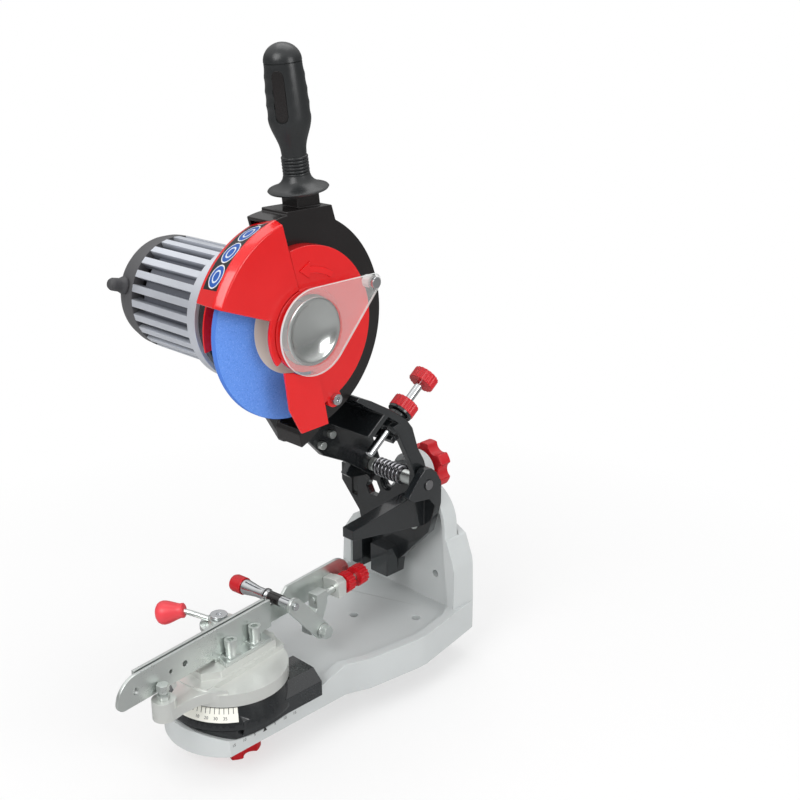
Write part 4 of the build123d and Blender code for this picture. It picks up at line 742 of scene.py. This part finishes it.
cast_alloy = finish(
    "cast_alloy", tone(226, 228, 224), 0.32, 650, 0.04, drift=0.05, edge_wear_and_highlight=1.1, fixed={"Metallic": 0.6}
)
fit(eased("inner_flange", 0.4), cast_alloy, "inner_flange")
fit(eased("outer_flange", 0.4), cast_alloy, "outer_flange")
fit(eased("wheel_nut", 0.5), bright_steel, "wheel_nut")

# ------------------------------------------------------------------ cradle with its dial
# A black painted casting that tips in the base's round seat. Its cone shows a printed scale
# for the turntable, and its skirt hangs over the base's right side.
fit(eased("cradle", 0.6), black_paint, "cradle")
swivel = Vector(joints["vise_swivel"]["pos_m"])
nose = stood((swivel.x, swivel.y, 0), (1, 0, 0), (0, 0, 1))
DIAL_LOW = (48.4, 28.0)
DIAL_HIGH = (44.4, 38.0)
DIAL_THICK = 0.7
DIAL_START = -102.0
DIAL_SWEEP = 71.0
dial_outline = [
    (DIAL_LOW[0], DIAL_LOW[1]), (DIAL_LOW[0] + DIAL_THICK, DIAL_LOW[1]),
    (DIAL_HIGH[0] + DIAL_THICK, DIAL_HIGH[1]), (DIAL_HIGH[0], DIAL_HIGH[1]),
]
dial = swept("dial_strip", dial_outline, nose, DIAL_START, DIAL_SWEEP, steps=60)
dial_paper = finish("dial_print", tone(232, 231, 222), 0.5, 700, 0.01, drift=0.02)
paper = wire_in(dial_paper, "Base Color")
spot = paper.node("TexCoord", output=3)
split = paper.node("SeparateXYZ", sockets={0: spot})
dial_y = Shade(split.tree, split.socket.node.outputs[1]) - swivel.y
dial_z = Shade(split.tree, split.socket.node.outputs[2]) / MM
dial_turn = split.maths("ARCTAN2", dial_y, split - swivel.x) * (180 / pi)
TICK_STEP = 4.4
tick_from = (dial_turn / TICK_STEP).maths("FRACT", dial_turn / TICK_STEP + 0.5) - 0.5
ticks = (tick_from.maths("ABSOLUTE", tick_from) < 0.07) * (dial_z > 34.0)
feed(dial_paper, "Base Color", ticks.mix(paper, tone(36, 36, 38)))
fit(dial, dial_paper, "swivel_dial")

print_ink = finish("printing_ink", tone(34, 34, 37), 0.5, 900, 0.004)
FIGURE_THICK = 0.12


def figure(text, high, place, body, ink):
    """A printed number, its size in mm, lying on the place's x and y."""
    bpy.ops.object.select_all(action="DESELECT")
    bpy.ops.object.text_add()
    words = bpy.context.object
    words.data.body = text
    words.data.size = high * MM
    words.data.extrude = FIGURE_THICK / 2 * MM
    words.data.resolution_u = 4
    words.data.align_x = words.data.align_y = "CENTER"
    bpy.ops.object.convert(target="MESH")
    printed = settle("figure_" + body + "_" + text.replace(" ", "_"), place)
    fit(printed, ink, body=body)
    return printed


def on_cone(bearing, high):
    """A place on the dial strip, its y up the cone."""
    share = (high - DIAL_LOW[1]) / (DIAL_HIGH[1] - DIAL_LOW[1])
    radius = DIAL_LOW[0] + DIAL_THICK + (DIAL_HIGH[0] - DIAL_LOW[0]) * share
    out = Vector((cos(radians(bearing)), sin(radians(bearing)), 0))
    normal = out + Vector((0, 0, 0.4))
    across = Vector((-out.y, out.x, 0))
    point = Vector((swivel.x, swivel.y, high * MM)) + out * radius * MM
    return stood(point, across, normal)


FIGURE_START = -69.2
FIGURE_ROW = 30.9
FIGURE_HIGH = 3.4
for count, number in enumerate(("10", "20", "30", "35")):
    figure_at = on_cone(FIGURE_START + 2 * TICK_STEP * count, FIGURE_ROW)
    figure(number, FIGURE_HIGH, figure_at, "cradle", print_ink)
SIDE_X = 41.0
SIDE_Z = 9.0
for offset in (-30, -20, -10, 10, 20, 30):
    side_at = stood((SIDE_X * MM, swivel.y + offset * MM, SIDE_Z * MM), (0, 1, 0), (1, 0, 0))
    number = figure(str(abs(offset) // 2), FIGURE_HIGH, side_at, "base", print_ink)
    number.name = "scale_figure_" + ("front" if offset < 0 else "rear") + str(abs(offset))
triangle_at = stood((SIDE_X * MM, swivel.y, SIDE_Z * MM), (0, 1, 0), (1, 0, 0))
mark = plate("scale_mark", [(-2, -1.6), (2, -1.6), (0, 2.2)], FIGURE_THICK, triangle_at)
fit(mark, print_ink, body="base")

# ------------------------------------------------------------------ vise turntable
# A satin alloy casting that turns on the cradle: a disc with a raised half and a block for the
# rails, and an arm with a bolt that props the long rail. A stud and red knob below clamp it.
fit(eased("turntable", 0.4, 2), cast_alloy, "turntable")
fit(eased("clamp_stud", 0.4), zinc, "clamp_stud")
fit(eased("clamp_knob", 1.2, 3), red_plastic, "clamp_knob")
fit(eased("support_bolt", 0.5), zinc, "support_bolt")

# ------------------------------------------------------------------ rails
# Two zinc plated rails grip the chain between them: a fixed one under two socket screws, and
# a long moving one that the cam pushes. Both are cut from plate and bent at the foot.
fit(eased("fixed_rail", 0.5, 2), zinc, "fixed_rail")
fit(eased("moving_jaw", 0.5, 2), zinc, "moving_jaw")
fit(eased("rail_screws", 0.3), zinc, "rail_screws")
fit(eased("guide_screws", 0.4, 2), zinc, "guide_screws")

# ------------------------------------------------------------------ cam lever
# A round cam under a chromed bolt squeezes the rails when its bent bar is swung. The bar ends
# in an egg-shaped knob moulded in lighter red.
egg_red = finish("egg_plastic", tone(238, 70, 80), 0.3, 700, 0.02, drift=0.05, edge_wear_and_highlight=1.1)
fit(eased("cam_lever", 0.6, 2), zinc, "cam_lever")
fit(eased("cam_bolt", 0.6, 3), chrome, "cam_bolt")
EGG_TIP = Vector((-50.945, -183.026, 80.0))
EGG_WAY = Vector((-0.7756, -0.6031, -0.1863))
EGG_NECK = 7.0
egg_outline = [
    (0, -0.4), (5.0, -0.4), (5.9, 0.3), (6.0, 1.6), (5.8, 2.8), (6.2, 4.4), (7.0, 6.8), (7.9, 9.4),
    (8.7, 11.8), (9.3, 14.2), (9.6, 16.6), (9.2, 18.8), (8.0, 20.8), (5.8, 22.3), (3.0, 23.1), (0, 23.3),
]
egg_at = stood((EGG_TIP - EGG_WAY * EGG_NECK) * MM, (0, 0, 1), EGG_WAY)
fit(turned("egg_knob", egg_outline, egg_at, angle=50), egg_red, "lever_knob")

# ------------------------------------------------------------------ tooth stop
# A strap on a screw carries a chromed cross shaft with a red cap, which meets the tooth being
# ground. The end knob runs the screw, the inner one locks it in its cast block.
fit(eased("stop_block", 0.7, 2), cast_alloy, "stop_block")
fit(eased("stop_screw", 0.4, 2), zinc, "stop_screw")
fit(eased("stop_end_knob", 0.5, 2, 34), red_plastic, "stop_end_knob")
fit(eased("stop_lock_knob", 0.5, 2, 34), red_plastic, "stop_lock_knob")
fit(eased("stop_bracket", 0.6, 2), zinc, "stop_bracket")
fit(eased("stop_bolt", 0.3), zinc, "stop_bolt")
fit(eased("stop_strap", 0.6, 2), zinc, "stop_strap")
fit(eased("stop_shaft", 0.5, 2), chrome, "stop_shaft")
cap_low, cap_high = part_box("stop_cap")
RAIL_TURN = radians(96.7)
rail_out = Vector((sin(RAIL_TURN), -cos(RAIL_TURN), 0))
CAP_MIDDLE = 3.0
shaft_at = stood((cap_low + cap_high) / 2 - rail_out * CAP_MIDDLE * MM, (0, 0, 1), rail_out)
sleeve_outline = [(4.3, 37.5), (4.6, 37.5), (4.75, 37.7), (4.75, 50.3), (4.6, 50.5), (4.3, 50.5), (4.3, 37.5)]
collar_outline = [(5.4, 33.5), (5.8, 33.5), (5.8, 35.0), (5.4, 35.0), (5.4, 33.5)]
for name, outline in (("stop_sleeve", sleeve_outline), ("stop_collar", collar_outline)):
    dark_ring = turned(name, outline, shaft_at)
    fit(dark_ring, black_gloss, body="stop_arm")
fit(eased("stop_cap", 0.7, 2), red_plastic, "stop_cap")

# ------------------------------------------------------------------ studio
# A plain white floor just under the lowest knob, soft lamps, a pale surround and the camera.
floor_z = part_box("clamp_knob")[0].z
bpy.ops.object.select_all(action="DESELECT")
bpy.ops.mesh.primitive_plane_add(size=8, location=(0, 0, floor_z))
floor = bpy.context.object
floor.name = "floor"
floor_white = bpy.data.materials.new("floor_white")
floor_white.use_nodes = True
floor_tree = floor_white.node_tree
floor_start = Shade(floor_tree)
seen = floor_start.node("LightPath")
mirrored = Shade(floor_tree, seen.socket.node.outputs["Is Glossy Ray"])
through = Shade(floor_tree, seen.socket.node.outputs["Is Transmission Ray"])
direct = seen + through
ground_at = floor_start.node("TexCoord", output=3)
from_middle = ground_at.node(
    "VectorMath", {"operation": "DISTANCE"}, {0: ground_at, 1: (0, -0.05, 0)}, output=1
)
cleared = from_middle.between(0.2, 0.62) * 0.4 + 0.6
glow = floor_start.node("Emission", sockets={"Color": (1, 1, 1, 1), "Strength": 1.0})
floor_tone = mirrored.mix((0.93, 0.93, 0.93, 1), (0.38, 0.38, 0.38, 1))
matt = floor_start.node("BsdfDiffuse", sockets={"Color": floor_tone})
both = floor_start.node("MixShader", sockets={0: direct * cleared, 1: matt, 2: glow})
floor_tree.links.new(both.socket, floor_tree.nodes["Material Output"].inputs["Surface"])
floor.data.materials.append(floor_white)

world = bpy.data.worlds.new("pale_room")
world.use_nodes = True
bpy.context.scene.world = world
sky = Shade(world.node_tree)
looked = sky.node("LightPath")
looked_glossy = Shade(world.node_tree, looked.socket.node.outputs["Is Glossy Ray"])
looked_through = Shade(world.node_tree, looked.socket.node.outputs["Is Transmission Ray"])
AMBIENT = 0.6
facing = sky.node("TexCoord", output=0)
upward = sky.node("SeparateXYZ", sockets={0: facing}, output=2)
mirror_sky = upward.between(0.15, 0.75) * 0.85 + 0.2
plain_sky = (looked + looked_through) * (1 - AMBIENT) + AMBIENT
strength = looked_glossy * (mirror_sky - AMBIENT) + plain_sky
room = sky.node("Background", sockets={"Color": (1, 1, 1, 1), "Strength": strength})
world.node_tree.links.new(room.socket, world.node_tree.nodes["World Output"].inputs["Surface"])


def lamp(name, watts, size, at):
    """A soft square lamp aimed at the machine's middle."""
    bpy.ops.object.light_add(type="AREA", location=at)
    made = bpy.context.object
    made.name = name
    made.data.energy = watts
    made.data.size = size
    made.rotation_euler = (Vector(at) - Vector((0, -0.08, 0.2))).to_track_quat("Z", "Y").to_euler()


lamp("key_lamp", 9.0, 0.8, (0.2, -1.2, 1.1))
lamp("side_lamp", 5.0, 0.6, (1.4, 0.1, 0.7))
lamp("top_lamp", 5.0, 1.0, (-0.2, 0.2, 1.5))

CAMERA_AT = Vector((0.6699, -0.6649, 0.5546))
CAMERA_BACK = Vector((0.6604, -0.6743, 0.3305))
bpy.ops.object.camera_add(location=CAMERA_AT)
camera = bpy.context.object
camera.rotation_euler = CAMERA_BACK.to_track_quat("Z", "Y").to_euler()
camera.data.lens = 54.36
camera.data.sensor_width = 36.0
bpy.context.scene.camera = camera
bpy.context.scene.view_settings.view_transform = "Standard"
